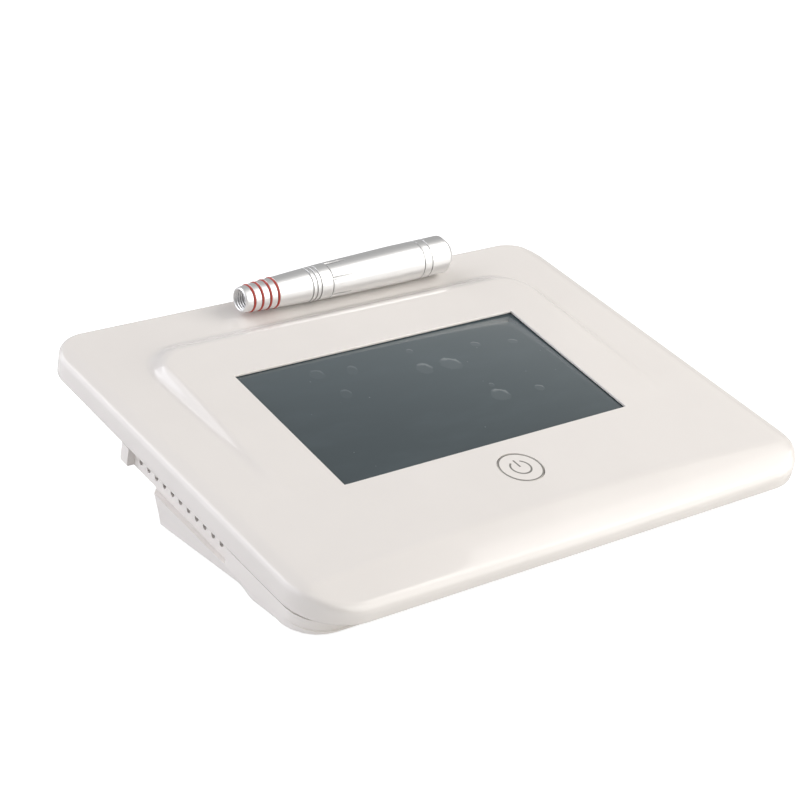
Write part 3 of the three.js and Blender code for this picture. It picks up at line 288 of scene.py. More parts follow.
class Value:
    """A shader value. An expression on values adds its Math nodes."""

    def __init__(self, look, socket):
        self.look, self.socket = look, socket

    def math(self, operation, *others):
        values = dict(enumerate((self, *others)))
        return Value(self.look, self.look.node("ShaderNodeMath", {"operation": operation}, values).outputs[0])

    def __add__(self, other):
        return self.math("ADD", other)

    def __sub__(self, other):
        return self.math("SUBTRACT", other)

    def __rsub__(self, other):
        return self.look.number(other).math("SUBTRACT", self)

    def __mul__(self, other):
        return self.math("MULTIPLY", other)

    def __neg__(self):
        return self * -1.0

    __radd__ = __add__
    __rmul__ = __mul__

    def __abs__(self):
        return self.math("ABSOLUTE")

    def most(self, other):
        return self.math("MAXIMUM", other)

    def root(self):
        return self.math("SQRT")

    def sine(self):
        return self.math("SINE")

    def ramp(self, low, high):
        """0 below low, 1 above high, smooth between."""
        settings = {"interpolation_type": "SMOOTHSTEP", "clamp": True}
        values = {"Value": self, "From Min": low, "From Max": high}
        return Value(self.look, self.look.node("ShaderNodeMapRange", settings, values).outputs["Result"])


class Look:
    """The node tree of a material or a world."""

    def __init__(self, name, family="materials"):
        self.owner = getattr(bpy.data, family).new(name)
        self.owner.use_nodes = True
        self.tree = self.owner.node_tree
        self.tree.nodes.clear()

    def node(self, kind, settings=None, values=None):
        made = self.tree.nodes.new(kind)
        for key, value in (settings or {}).items():
            setattr(made, key, value)
        for key, value in (values or {}).items():
            self.feed(made.inputs[key], value)
        return made

    def feed(self, socket, value):
        if isinstance(value, Value):
            value = value.socket
        if isinstance(value, bpy.types.NodeSocket):
            self.tree.links.new(value, socket)
        else:
            socket.default_value = value

    def number(self, value):
        node = self.node("ShaderNodeValue")
        node.outputs[0].default_value = value
        return Value(self, node.outputs[0])

    def places(self, scale=(1, 1, 1), turn=(0, 0, 0), shift=(0, 0, 0)):
        """Object coordinates in metres, moved, turned and scaled."""
        source = self.node("ShaderNodeTexCoord").outputs["Object"]
        return self.mapped(source, scale, turn, shift)

    def mapped(self, source, scale=(1, 1, 1), turn=(0, 0, 0), shift=(0, 0, 0)):
        moved = self.node("ShaderNodeVectorMath", {"operation": "ADD"}, {0: source, 1: shift}).outputs[0]
        values = {"Vector": moved, "Rotation": turn, "Scale": scale}
        return self.node("ShaderNodeMapping", {"vector_type": "POINT"}, values).outputs[0]

    def flat(self):
        """The piece's own flat map, in millimetres, as two values."""
        source = self.node("ShaderNodeUVMap", {"uv_map": "flat"}).outputs["UV"]
        return self.split(source)[:2]

    def split(self, vector):
        node = self.node("ShaderNodeSeparateXYZ", None, {0: vector})
        return [Value(self, out) for out in node.outputs]

    def noise(self, vector, scale, detail=2.0, rough=0.5):
        values = {"Vector": vector, "Scale": scale, "Detail": detail, "Roughness": rough}
        return Value(self, self.node("ShaderNodeTexNoise", None, values).outputs["Fac"])

    def cells(self, vector, scale):
        values = {"Vector": vector, "Scale": scale}
        return Value(self, self.node("ShaderNodeTexVoronoi", None, values).outputs["Distance"])

    def mix(self, share, first, second):
        """Colours first to second by share."""
        node = self.node("ShaderNodeMix", {"data_type": "RGBA"})
        self.feed(node.inputs["Factor"], share)
        for socket, colour in ((node.inputs[6], first), (node.inputs[7], second)):
            self.feed(socket, colour if isinstance(colour, bpy.types.NodeSocket) else rgba(colour))
        return node.outputs[2]

    def bump(self, height, distance, strength=1.0):
        values = {"Height": height, "Distance": distance, "Strength": strength}
        return self.node("ShaderNodeBump", None, values).outputs["Normal"]

    def finish(self, **values):
        """Principled shader from socket names with underscores for spaces, and the output."""
        named = {key.replace("_", " "): value for key, value in values.items()}
        return self.end(self.node("ShaderNodeBsdfPrincipled", None, named))

    def end(self, shader, kind="ShaderNodeOutputMaterial"):
        self.node(kind, None, {"Surface": shader.outputs[0]})
        return self.owner


def rgba(colour):
    """A colour with full alpha."""
    return (*tuple(colour)[:3], 1.0)


def scaled(colour, share):
    """A colour made lighter or darker."""
    return tuple(min(1.0, c * share) for c in tuple(colour)[:3])


def gloss_plastic(name, colour, roughness):
    """Moulded plastic: faint mottling, a fine orange peel and soft dust in the gloss."""
    look = Look(name)
    place = look.places()
    cloud = look.noise(place, 18, 3)
    grain = look.noise(place, 900, 2)
    base = look.mix(cloud.ramp(0.3, 0.7), scaled(colour, 0.985), scaled(colour, 1.012))
    rough = roughness + (cloud - 0.5) * 0.05 + (grain - 0.5) * 0.04
    peel = look.noise(place, 260, 1)
    return look.finish(
        Base_Color=base, Roughness=rough, Normal=look.bump(peel, 0.01 * MM, 0.3), IOR=1.5,
        Specular_IOR_Level=0.5, Coat_Weight=0.4, Coat_Roughness=0.04)


def key_plastic(name, colour, ink):
    """The shell's plastic with a printed ring at the edge and the power sign in the middle."""
    look = Look(name)
    across, up = look.flat()
    reach = (across * across + up * up).root()
    soft = 0.07

    def band(distance, half):
        return 1.0 - abs(distance).ramp(half - soft, half + soft)

    ring = band(reach - PRINT_RING[0], PRINT_RING[1])
    gap = (abs(across) + up * -0.62).ramp(-0.25, 0.15)
    arc = band(reach - PRINT_ARC[0], PRINT_ARC[1]) * gap.most((-up).ramp(-0.2, 0.2))
    low, high = PRINT_STROKE
    stroke = band(across, PRINT_ARC[1]) * band(up - (low + high) / 2, (high - low) / 2)
    mark = ring.most(arc).most(stroke)
    place = look.places()
    cloud = look.noise(place, 40, 2)
    base = look.mix(mark * 0.92, colour, ink)
    return look.finish(
        Base_Color=base, Roughness=0.17 + (cloud - 0.5) * 0.06 + mark * 0.12,
        Normal=look.bump(look.noise(place, 260, 1) + mark * 0.3, 0.02 * MM, 0.35),
        IOR=1.5, Coat_Weight=0.2, Coat_Roughness=0.06)


# Blisters under the screen's film: their places on the glass, half width and half height as seen
# from the front left, and how plainly they show, in relief and in their painted highlight
BLISTERS = (
    (-41.6, 72.9, 9.0, 5.0, 0.4), (-24.4, 70.0, 6.5, 5.0, 0.35), (-37.8, 55.6, 7.0, 4.5, 0.35),
    (10.1, 73.5, 4.5, 2.5, 0.6), (8.4, 59.4, 10.0, 5.5, 0.8), (22.7, 58.5, 13.0, 6.0, 0.95),
    (44.0, 67.7, 6.5, 2.5, 0.9), (63.2, 63.4, 6.5, 2.5, 0.8), (30.0, 37.8, 3.5, 2.0, 0.7),
    (29.2, 29.9, 12.0, 6.0, 0.9), (50.3, 27.9, 6.0, 3.0, 0.8),
)


def blister(across, up, ragged, place):
    """A blister's low dome, painted a little paler, and a painted highlight as a bright crescent along its
    far side.
    """
    x, v, wide, high, plain = place
    dx, dv = across - x, up - v
    side, away = (dx * 1.78 - dv * 1.34) * (1 / wide), (dx * 0.45 + dv * 1.2) * (1 / high)
    lean = away + side * 0.3
    far = (side * side + lean * lean).root() + ragged
    dome = 1.0 - far.ramp(0.75, 1.0)
    painted_crescent = dome * far.ramp(0.45, 0.85) * lean.ramp(0.1, 0.75)
    return dome * (0.14 * plain) + painted_crescent * plain


def screen_glass(name, colour):
    """Dark glass under a thin film, with the small blisters and dust that such a film keeps, painted
    highlights on the blisters and a painted reflection across it.
    """
    look = Look(name)
    across, up = look.flat()
    smear = look.noise(look.places((1, 3, 1), (0, 0, 0.5)), 24, 3)
    ragged = (look.noise(look.places(), 420, 2) - 0.5) * 0.5
    raised = None
    for place in BLISTERS:
        one = blister(across, up, ragged, place)
        raised = one if raised is None else raised.most(one)
    dust = 1.0 - look.cells(look.places(), 130).ramp(0.03, 0.05)
    # painted reflection: the glass is made lighter towards the back and the right
    painted_reflection_share = (up * (1 / OPENING_BACK) + across * (0.35 / OPENING_HALF)).ramp(-0.1, 1.2)
    pale = look.mix(painted_reflection_share, scaled(colour, 0.9), scaled(colour, 1.25))
    dusty = look.mix(smear.ramp(0.45, 0.8) * 0.12, pale, scaled(colour, 1.8))
    # painted highlights of the blisters and real dust specks both lighten the glass
    base = look.mix((raised * 0.6).most(dust * 0.35), dusty, (0.30, 0.33, 0.34))
    return look.finish(
        Base_Color=base, Roughness=0.1 + smear * 0.05 + raised * 0.1,
        Normal=look.bump(raised + smear * 0.02, 0.12 * MM, 0.4), IOR=1.5, Coat_Weight=0.3,
        Coat_Roughness=0.04)


def satin_metal(name, colour, turn, shift):
    """Turned metal: fine lathe lines round the axis, an uneven sheen and painted shade that greys the
    grooves.
    """
    look = Look(name)
    along = look.places((1, 1, 1), turn, shift)
    lines = look.noise(look.mapped(along, (4200, 0, 0)), 1, 2)
    cloud = look.noise(along, 35, 1)
    base = look.mix(lines.ramp(0.3, 0.7), scaled(colour, 0.98), scaled(colour, 1.02))
    # painted shade: the colour greys with each point's depth in a groove
    groove = Value(look, look.node("ShaderNodeAttribute", {"attribute_name": "groove"}).outputs["Fac"])
    base = look.mix(groove * 0.7, base, scaled(colour, 0.45))
    rough = 0.4 + (lines - 0.5) * 0.06 + (cloud - 0.5) * 0.03 + groove * 0.1
    return look.finish(
        Base_Color=base, Metallic=1.0, Roughness=rough, Normal=look.bump(lines, 0.002 * MM, 0.4))


def plain_metal(name, colour, roughness, scale=400):
    """Plated or drawn metal with fine scratches and a cloudy sheen."""
    look = Look(name)
    place = look.places()
    scratch = look.noise(look.places((1, 9, 1), (0.3, 0.2, 0.6)), scale, 3, 0.6)
    cloud = look.noise(place, 70, 2)
    base = look.mix(cloud.ramp(0.3, 0.7), scaled(colour, 0.93), scaled(colour, 1.05))
    return look.finish(
        Base_Color=base, Metallic=1.0, Roughness=roughness + (scratch - 0.5) * 0.14 + (cloud - 0.5) * 0.08,
        Normal=look.bump(scratch, 0.01 * MM, 0.5))


def matt_polymer(name, colour, roughness, scale, depth, sheen=0.0):
    """Rubber, foam or spark-eroded plastic: grain in the bump and in the colour."""
    look = Look(name)
    place = look.places()
    grain = look.noise(place, scale, 3, 0.6)
    pits = look.cells(place, scale * 0.7)
    cloud = look.noise(place, 45, 2)
    base = look.mix(grain.ramp(0.3, 0.7), scaled(colour, 0.85), scaled(colour, 1.15))
    return look.finish(
        Base_Color=base, Roughness=roughness + (cloud - 0.5) * 0.08 + (grain - 0.5) * 0.06,
        Normal=look.bump(grain * 0.6 + pits * 0.4, depth * MM, 0.6), Sheen_Weight=sheen)


def solder_mask(name, colour):
    """Green lacquer over copper tracks, with pads left bare."""
    look = Look(name)
    x, y = look.split(look.places())[:2]
    wander = look.noise(look.places(), 90, 1)
    tracks = ((x * 900 + wander * 6).sine() * (y * 640 + wander * 5).sine()).ramp(0.35, 0.55)
    pads = 1.0 - look.cells(look.places(), 260).ramp(0.10, 0.16)
    base = look.mix(tracks * 0.5, colour, scaled(colour, 1.9))
    bare = look.mix(pads, base, (0.66, 0.55, 0.30))
    return look.finish(
        Base_Color=bare, Roughness=0.34 + wander * 0.08, Metallic=pads * 0.8,
        Normal=look.bump(tracks + pads, 0.03 * MM, 0.5))


def flat_cable(name, colour):
    """Ribbed sheath of a flat cable: fine lines along its conductors."""
    look = Look(name)
    x = look.split(look.places())[0]
    ribs = (x * 2 * math.pi * 1000).sine()
    base = look.mix(ribs.ramp(-0.6, 0.6), scaled(colour, 0.8), colour)
    return look.finish(
        Base_Color=base, Roughness=0.42 + look.noise(look.places(), 80, 2) * 0.12,
        Normal=look.bump(ribs, 0.05 * MM, 0.5))


# Meshes

def on_slope(points):
    """Places of the slope frame, in millimetres, as places of the model, in metres."""
    x, v, w = points[..., 0], points[..., 1], points[..., 2]
    y = v * math.cos(SLOPE) - w * math.sin(SLOPE) + ORIGIN.y
    z = v * math.sin(SLOPE) + w * math.cos(SLOPE) + ORIGIN.z
    return np.stack([x + ORIGIN.x, y, z], -1) * MM


def make_mesh(name, points, faces):
    """A new piece from places in metres."""
    mesh = bpy.data.meshes.new(name)
    mesh.from_pydata([tuple(p) for p in points], [], faces)
    mesh.validate()
    made = bpy.data.objects.new(name, mesh)
    bpy.context.scene.collection.objects.link(made)
    smooth(made)
    return made


def smooth(piece, sharp=SHARP):
    """Smooth shading, with edges sharp where they turn more than an angle in degrees."""
    piece.data.shade_smooth()
    piece.data.set_sharp_from_angle(angle=math.radians(sharp))


def close_up(piece):
    """Fills open ends and turns all faces outwards."""
    shape = bmesh.new()
    shape.from_mesh(piece.data)
    bmesh.ops.holes_fill(shape, edges=[e for e in shape.edges if e.is_boundary], sides=0)
    bmesh.ops.recalc_face_normals(shape, faces=shape.faces)
    shape.to_mesh(piece.data)
    shape.free()


def settle(piece):
    """Replaces a piece's mesh by its evaluated one and removes its modifiers."""
    graph = bpy.context.evaluated_depsgraph_get()
    mesh = bpy.data.meshes.new_from_object(piece.evaluated_get(graph))
    piece.modifiers.clear()
    old, piece.data = piece.data, mesh
    if old.users == 0:
        bpy.data.meshes.remove(old)


def dress(piece, material, body, slot, *nodes):
    """Gives a piece its finish, its body and the nodes that it stands for."""
    piece.data.materials.clear()
    piece.data.materials.append(material)
    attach(piece, body)
    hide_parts(*nodes)


def rings_to_mesh(name, rings, looped=True, sharp=SHARP):
    """Closed mesh through rings of equally many points. The last joins the first, or both ends are filled."""
    count = len(rings[0])
    faces = []
    for r in range(len(rings) if looped else len(rings) - 1):
        low, high = r * count, (r + 1) % len(rings) * count
        for i in range(count):
            j = (i + 1) % count
            faces.append((low + i, low + j, high + j, high + i))
    made = make_mesh(name, np.concatenate(rings), faces)
    close_up(made)
    smooth(made, sharp)
    return made


def full_turn(count):
    """Equal angles once round."""
    return np.arange(count) * 2 * math.pi / count


def circle(radius, angles, level, middle=0.0):
    """A ring of places about the third axis, with its middle moved along the second."""
    across, up = radius * np.cos(angles), middle + radius * np.sin(angles)
    return np.stack([across, up, np.full(len(angles), level)], -1)


def flat_map(piece, place):
    """A map in millimetres from each corner's place in the model."""
    layer = piece.data.uv_layers.new(name="flat")
    points = np.array([v.co for v in piece.data.vertices])
    corners = np.array([loop.vertex_index for loop in piece.data.loops])
    layer.data.foreach_set("uv", place(points)[corners].astype(np.float32).ravel())


def slope_map(points):
    """x and v of places in the model, in millimetres."""
    mm = points / MM - np.array(ORIGIN)
    return np.stack([mm[:, 0], mm[:, 1] * math.cos(SLOPE) + mm[:, 2] * math.sin(SLOPE)], -1)


# Cover

def soft_max(a, b, k):
    """The larger of two heights, with the crease between them rounded over k."""
    return np.maximum(a, b) + np.maximum(k - np.abs(a - b), 0) ** 2 / (4 * k)


def soft_min(a, b, k):
    """The smaller of two heights, with the crease between them rounded over k."""
    return np.minimum(a, b) - np.maximum(k - np.abs(a - b), 0) ** 2 / (4 * k)


def round_box(x, v, half, front, back, radius):
    """Signed distance from a rounded rectangle, and how squarely a place lies behind it."""
    middle = (front + back) / 2
    across = np.abs(x) - (half - radius)
    up = np.abs(v - middle) - ((back - front) / 2 - radius)
    beyond = np.hypot(np.maximum(across, 0), np.maximum(up, 0))
    distance = beyond + np.minimum(np.maximum(across, up), 0) - radius
    behind = np.where(beyond > 1e-6, np.maximum(up, 0) / np.maximum(beyond, 1e-6), (up > across) * 1.0)
    return distance, behind * (v > middle)


def crest_line(x):
    """Where the front band's arched crest lies."""
    return -CREST - CREST_SAG * (x / HALF) ** 2


def cover_height(x, v, sizes):
    """Height of the cover's top over the slope frame's level."""
    level = 0.0 * v
    panel = soft_max(v * RISE, level, RISE_START)
    distance, behind = round_box(x, v, PANEL_HALF, -FAR, PANEL_BACK, PANEL_CORNER)
    wide = FLARE + (BACK_FLARE - FLARE) * behind ** 2
    crease = np.clip(panel / 2, LEAST_CREASE, sizes.crease_round / MM)
    flared = soft_min(panel, panel - distance * panel / wide, crease)
    crest = sizes.crest_round / MM
    top = soft_max(flared, level, crease) - soft_max(BAND_SLOPE * (crest_line(x) - v), level, crest)
    return top - soft_max(SIDE_SLOPE * (np.abs(x) - SIDE_CREST), level, crest)


def cover_outline(spacing):
    """Places round the cover from the middle of its front, with their outward directions."""
    places, directions = [], []

    def run(start, end, direction):
        start, end = np.array(start, float), np.array(end, float)
        count = max(2, round(np.linalg.norm(end - start) / spacing))
        for i in range(count):
            places.append(start + (end - start) * i / count)
            directions.append(direction)

    def bend(across, up, radius, start):
        steps = 22
        for i in range(steps):
            angle = math.radians(start + 90 * i / steps)
            direction = np.array([math.cos(angle), math.sin(angle)])
            places.append(np.array([across, up]) + radius * direction)
            directions.append(direction)

    low, high = FRONT + FRONT_CORNER, BACK - BACK_CORNER
    half_front, half_back = HALF - FRONT_CORNER, HALF - BACK_CORNER
    run((0, FRONT), (half_front, FRONT), (0, -1))
    bend(half_front, low, FRONT_CORNER, -90)
    run((HALF, low), (HALF, high), (1, 0))
    bend(half_back, high, BACK_CORNER, 0)
    run((half_back, BACK), (-half_back, BACK), (0, 1))
    bend(-half_back, high, BACK_CORNER, 90)
    run((-HALF, high), (-HALF, low), (-1, 0))
    bend(-half_front, low, FRONT_CORNER, 180)
    run((-half_front, FRONT), (0, FRONT), (0, -1))
    return np.array(places), np.array(directions, float)


def reach_box(rays, half, front, back):
    """Where rays from the opening's middle leave a rectangle."""
    with np.errstate(divide="ignore"):
        across = np.where(rays[:, 0] != 0, half / np.abs(rays[:, 0]), FAR)
        limit = np.where(rays[:, 1] > 0, back - MIDDLE[1], MIDDLE[1] - front)
        up = np.where(rays[:, 1] != 0, limit / np.abs(rays[:, 1]), FAR)
    return MIDDLE + rays * np.minimum(across, up)[:, None]


def reach_level(rays, distance, level):
    """Where rays from the opening's middle meet a level of a distance that grows outwards."""
    low, high = np.zeros(len(rays)), np.full(len(rays), FAR)
    for _ in range(40):
        half = (low + high) / 2
        place = MIDDLE + rays * half[:, None]
        beyond = distance(place[:, 0], place[:, 1]) > level
        high, low = np.where(beyond, half, high), np.where(beyond, low, half)
    return MIDDLE + rays * low[:, None]


def cover_rays(start):
    """Directions from the opening's middle to places round the cover, with one to each of its corners."""
    rays = start - MIDDLE
    rays /= np.linalg.norm(rays, axis=1)[:, None]
    for side, end in ((-1, 0), (1, 0), (-1, 1), (1, 1)):
        aim = np.array([side * OPENING_HALF, end * OPENING_BACK]) - MIDDLE
        rays[np.argmax(rays @ aim)] = aim / np.linalg.norm(aim)
    return rays


def raised(place, height):
    """Places with a third coordinate, one for all or one each."""
    return np.column_stack([place, np.broadcast_to(height, len(place))])


def on_top(place, sizes, drop=0.0):
    """Places on the cover's top, or below it by a drop."""
    return raised(place, cover_height(*place.T, sizes) - drop)


def between(first, last, count):
    """Even steps after the first place, up to the last."""
    return [first + (last - first) * i / count for i in range(1, count + 1)]


def opening_rings(rays, sizes):
    """The screen opening's wall and its rounded edge."""
    opening = reach_box(rays, OPENING_HALF, 0, OPENING_BACK)
    rings = [raised(opening, opening[:, 1] * RISE - drop) for drop in (LIP, 0.6 * LIP)]
    lip = sizes.lip_round / MM
    for turn in np.linspace(0, math.pi / 2, 5):
        grown = lip * (1 - math.cos(turn))
        place = reach_box(rays, OPENING_HALF + grown, -grown, OPENING_BACK + grown)
        rings.append(on_top(place, sizes, lip * (1 - math.sin(turn))))
    return rings


def top_rings(rays, start, sizes):
    """The cover's top, with rings that follow the panel's flank and the band's crest."""

    def panel_distance(x, v):
        return round_box(x, v, PANEL_HALF, RINGS_FRONT, PANEL_BACK, PANEL_CORNER)[0]

    def crest_distance(x, v):
        edge = round_box(x, v, HALF - EDGE_STRIP, -FAR, BACK - EDGE_STRIP, BACK_CORNER - EDGE_STRIP)[0]
        return np.maximum(crest_line(x) - v, edge)

    lip = sizes.lip_round / MM
    last = reach_box(rays, OPENING_HALF + lip, -lip, OPENING_BACK + lip)
    # places that a ring has to meet, and how many rings lead up to them
    guides = (
        (reach_level(rays, panel_distance, -3), 8), (reach_level(rays, panel_distance, 0), 8),
        (reach_level(rays, panel_distance, 11), 26), (reach_level(rays, crest_distance, -3), 12),
        (reach_level(rays, crest_distance, 3), 14), (start, 12),
    )
    rings = []
    for place, count in guides:
        rings += [on_top(step, sizes) for step in between(last, place, count)]
        last = place
    return rings[:-1]


def edge_rings(outline, normal, edge, sizes):
    """The round at the edge, tangent to the top, then the side wall and the small round at its foot."""
    at_edge = cover_height(*outline.T, sizes)
    slope_in = (cover_height(*(outline - normal * edge[:, None]).T, sizes) - at_edge) / edge
    centre = at_edge + slope_in * edge - edge * np.sqrt(1 + slope_in ** 2)
    full = np.arctan2(1.0, slope_in)
    rings = []
    for share in np.linspace(1, 0, 13):
        reach = edge * (1 - np.cos(full * share))
        rings.append(raised(outline - normal * reach[:, None], centre + edge * np.sin(full * share)))
    for share in (0.35, 0.7, 1.0):
        rings.append(raised(outline, centre + (RIM + FOOT_ROUND - centre) * share))
    for turn in np.radians((30, 60, 90)):
        place = outline - normal * FOOT_ROUND * (1 - math.cos(turn))
        rings.append(raised(place, RIM + FOOT_ROUND * (1 - math.sin(turn))))
    return rings


def inside_rings(rays, outline, normal, sizes):
    """The wall's inside, the roof under the top and the pocket for the display."""
    inside = outline - normal * WALL
    roof = outline - normal * (WALL + COVE)
    under = cover_height(*roof.T, sizes) - WALL
    pocket = reach_box(rays, *POCKET)
    rings = [raised(inside, RIM), raised(inside, under - COVE), raised(roof, under)]
    rings += [on_top(step, sizes, WALL) for step in between(roof, pocket, 16)[:-1]]
    return rings + [raised(pocket, pocket[:, 1] * RISE - drop) for drop in (WALL, LIP)]


def cover_rings(sizes):
    """Rings of the cover, from the screen opening's edge out over the top, down and back inside."""
    outline, normal = cover_outline(sizes.spacing / MM)
    nose = np.maximum(-normal[:, 1], 0) ** 2
    edge = sizes.edge_round / MM + (sizes.nose_round - sizes.edge_round) / MM * nose
    start = outline - normal * edge[:, None]
    rays = cover_rays(start)
    rings = opening_rings(rays, sizes) + top_rings(rays, start, sizes)
    return rings + edge_rings(outline, normal, edge, sizes) + inside_rings(rays, outline, normal, sizes)


def rod(radius, start, end, sides):
    """Closed round rod between two places of the slope frame, as a cutter."""
    start, end = Vector(start), Vector(end)
    shape = bmesh.new()
    bmesh.ops.create_cone(
        shape, cap_ends=True, segments=sides, radius1=radius, radius2=radius, depth=(end - start).length)
    turn = (end - start).to_track_quat("Z", "Y").to_matrix().to_4x4()
    bmesh.ops.transform(shape, matrix=Matrix.Translation((start + end) / 2) @ turn, verts=shape.verts)
    points = on_slope(np.array([v.co for v in shape.verts]))
    faces = [[v.index for v in face.verts] for face in shape.faces]
    shape.free()
    return points, faces


def join_cutters(name, parts):
    """One mesh of several pairs of points and faces."""
    points, faces, offset = [], [], 0
    for part_points, part_faces in parts:
        points.append(part_points)
        faces += [[i + offset for i in face] for face in part_faces]
        offset += len(part_points)
    return make_mesh(name, np.concatenate(points), faces)


def carve(piece, cutter):
    """Takes the cutter away from the piece."""
    change = piece.modifiers.new("carve", "BOOLEAN")
    change.operation, change.solver, change.object = "DIFFERENCE", "EXACT", cutter
    settle(piece)
    bpy.data.objects.remove(cutter)


class OBJECT_OT_machine_cover(bpy.types.Operator):
    """Make the smooth top cover with its raised panel, front band, key hole and ports"""
    bl_idname = "object.machine_cover"
    bl_label = "Top cover"

    def execute(self, context):
        sizes, finishes = context.scene.cover_sizes, context.scene.machine_finishes
        rings = [on_slope(ring) for ring in cover_rings(sizes)]
        cover = rings_to_mesh("top_cover", rings)
        cutters = [rod(KEY_HOLE, (0, KEY_V, -KEY_CUT), (0, KEY_V, CUT_OUT), 96)]
        for x, radius in PORTS:
            cutters.append(rod(radius, (x, BACK - PORT_CUT, PORT_W), (x, BACK + CUT_OUT, PORT_W), 48))
        carve(cover, join_cutters("cover_cutters", cutters))
        smooth(cover)
        dress(cover, gloss_plastic("shell gloss", finishes.shell, 0.14), "console", "shell", "top_shell")
        return {"FINISHED"}


# Base and small console pieces

def shade_rounds(piece, degrees):
    """Gives each corner the mean normal, by area, of the faces at its point that lean less than an angle."""
    mesh = piece.data
    limit = math.cos(math.radians(degrees))
    around = [[] for _ in mesh.vertices]
    for face in mesh.polygons:
        for point in face.vertices:
            around[point].append(face.index)
    normals = [face.normal.copy() for face in mesh.polygons]
    weighted = [face.normal * face.area for face in mesh.polygons]
    corners = []
    for face in mesh.polygons:
        for point in face.vertices:
            near = [weighted[i] for i in around[point] if normals[i].dot(normals[face.index]) > limit]
            corners.append(sum(near, Vector()).normalized())
    mesh.polygons.foreach_set("use_smooth", [True] * len(mesh.polygons))
    mesh.normals_split_custom_set(corners)


def clean_copy(node, name):
    """A merged copy of a node with its flat faces joined, shaded smooth across its rounds."""
    made = bpy.data.objects.new(name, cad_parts[node].data.copy())
    bpy.context.scene.collection.objects.link(made)
    near, level = 0.002 * MM, math.radians(0.1)
    shape = bmesh.new()
    shape.from_mesh(made.data)
    bmesh.ops.remove_doubles(shape, verts=shape.verts, dist=near)
    bmesh.ops.dissolve_limit(shape, angle_limit=level, verts=shape.verts, edges=shape.edges)
    shape.to_mesh(made.data)
    shape.free()
    shade_rounds(made, SHARP_MOULDED)
    return made


class OBJECT_OT_machine_base(bpy.types.Operator):
    """Make the base shell with smooth rounds"""
    bl_idname = "object.machine_base"
    bl_label = "Base shell"

    def execute(self, context):
        finishes = context.scene.machine_finishes
        # painted light: the base takes the shell's colour made lighter, to make up for the shade it stands in
        satin = gloss_plastic("base satin", scaled(finishes.shell, 1.06), 0.34)
        dress(clean_copy("base_shell", "base_smooth"), satin, "console", "shell", "base_shell")
        return {"FINISHED"}


class OBJECT_OT_machine_key(bpy.types.Operator):
    """Make the power key with its printed ring and sign"""
    bl_idname = "object.machine_key"
    bl_label = "Power key"

    def execute(self, context):
        finishes = context.scene.machine_finishes
        across, down = KEY_EASE
        profile = [(0.0, KEY_RADIUS * share) for share in (0.4, 0.92)]
        for turn in np.linspace(math.pi / 2, 0, 7):
            profile.append((down * (math.sin(turn) - 1), KEY_RADIUS + across * (math.cos(turn) - 1)))
        profile += [(FLANGE_TOP, KEY_RADIUS), (FLANGE_TOP, FLANGE_RADIUS), (FLANGE_FOOT, FLANGE_RADIUS)]
        profile += [(FLANGE_FOOT, STUB_RADIUS), (STUB_FOOT, STUB_RADIUS)]
        angles = full_turn(120)
        rings = [on_slope(circle(radius, angles, level, KEY_V)) for level, radius in profile]
        key = rings_to_mesh("power_key_cap", rings, looped=False)
        flat_map(key, lambda points: slope_map(points) - np.array([0, KEY_V]))
        gloss = key_plastic("key gloss", finishes.shell, finishes.print_colour)
        dress(key, gloss, "power_key", "key", "power_key")
        return {"FINISHED"}


class OBJECT_OT_machine_screen(bpy.types.Operator):
    """Make the touch glass with ground edges, under its film"""
    bl_idname = "object.machine_screen"
    bl_label = "Touch glass"

    def execute(self, context):
        finishes = context.scene.machine_finishes
        glass = clean_copy("touch_glass", "touch_glass_ground")
        edge = glass.modifiers.new("edge", "BEVEL")
        edge.width, edge.segments, edge.limit_method = GLASS_EDGE * MM, 2, "ANGLE"
        settle(glass)
        smooth(glass, SHARP_SOFT)
        flat_map(glass, slope_map)
        dress(glass, screen_glass("dark glass", finishes.screen), "console", "screen_glass", "touch_glass")
        return {"FINISHED"}


# Handpiece

def pen_matrix():
    """From the handpiece's own frame to the model, in millimetres."""
    height = WAIST / math.cos(PEN_LEAN) + SEAM - GRIP_END * math.sin(PEN_LEAN)
    lying = Matrix.Translation((PEN_X, PEN_V, height)) @ Matrix.Rotation(-PEN_LEAN, 4, "Y")
    return Matrix.Translation(ORIGIN) @ Matrix.Rotation(SLOPE, 4, "X") @ lying


def on_pen(points):
    """Places of the handpiece's own frame, in millimetres, as places of the model, in metres."""
    matrix = np.array(pen_matrix())
    return (points @ matrix[:3, :3].T + matrix[:3, 3]) * MM


def pen_radius(x):
    """The handpiece's outer radius along its axis."""
    if x <= GRIP_END:
        return MOUTH + (WAIST - MOUTH) * (max(x, 0) / GRIP_END) ** GRIP_POWER
    return WAIST + (BARREL - WAIST) * min((x - GRIP_END) / (FULL_FROM - GRIP_END), 1)


def lathe(name, profile, angles, shift=None, sharp=SHARP_TURNED):
    """Closed body about the handpiece's axis from a profile of places and radii. A shift varies the radii."""
    rings = []
    for x, radius in profile:
        radii = shift(x, radius, angles) if shift else np.full(len(angles), radius)
        ring = (np.full(len(angles), x), radii * np.cos(angles), radii * np.sin(angles))
        rings.append(on_pen(np.stack(ring, -1)))
    return rings_to_mesh(name, rings, sharp=sharp)


def groove(x, size):
    """Profile of a groove with eased edges, from its middle and its pair of width and depth."""
    width, depth = size
    ease = 0.08
    left, right, floor = x - width / 2, x + width / 2, pen_radius(x) - depth
    return [
        (left - ease, pen_radius(left - ease)), (left, pen_radius(left) - ease), (left, floor),
        (right, floor), (right, pen_radius(right) - ease), (right + ease, pen_radius(right + ease)),
    ]


def eased_edge(x, radius, way):
    """Profile of an eased outer edge at a piece's end, with way 1, or at its start, with way -1."""
    bevel = 0.07
    return [(x - way * EASE, radius), (x - way * bevel, radius - bevel), (x, radius - EASE)][::way]


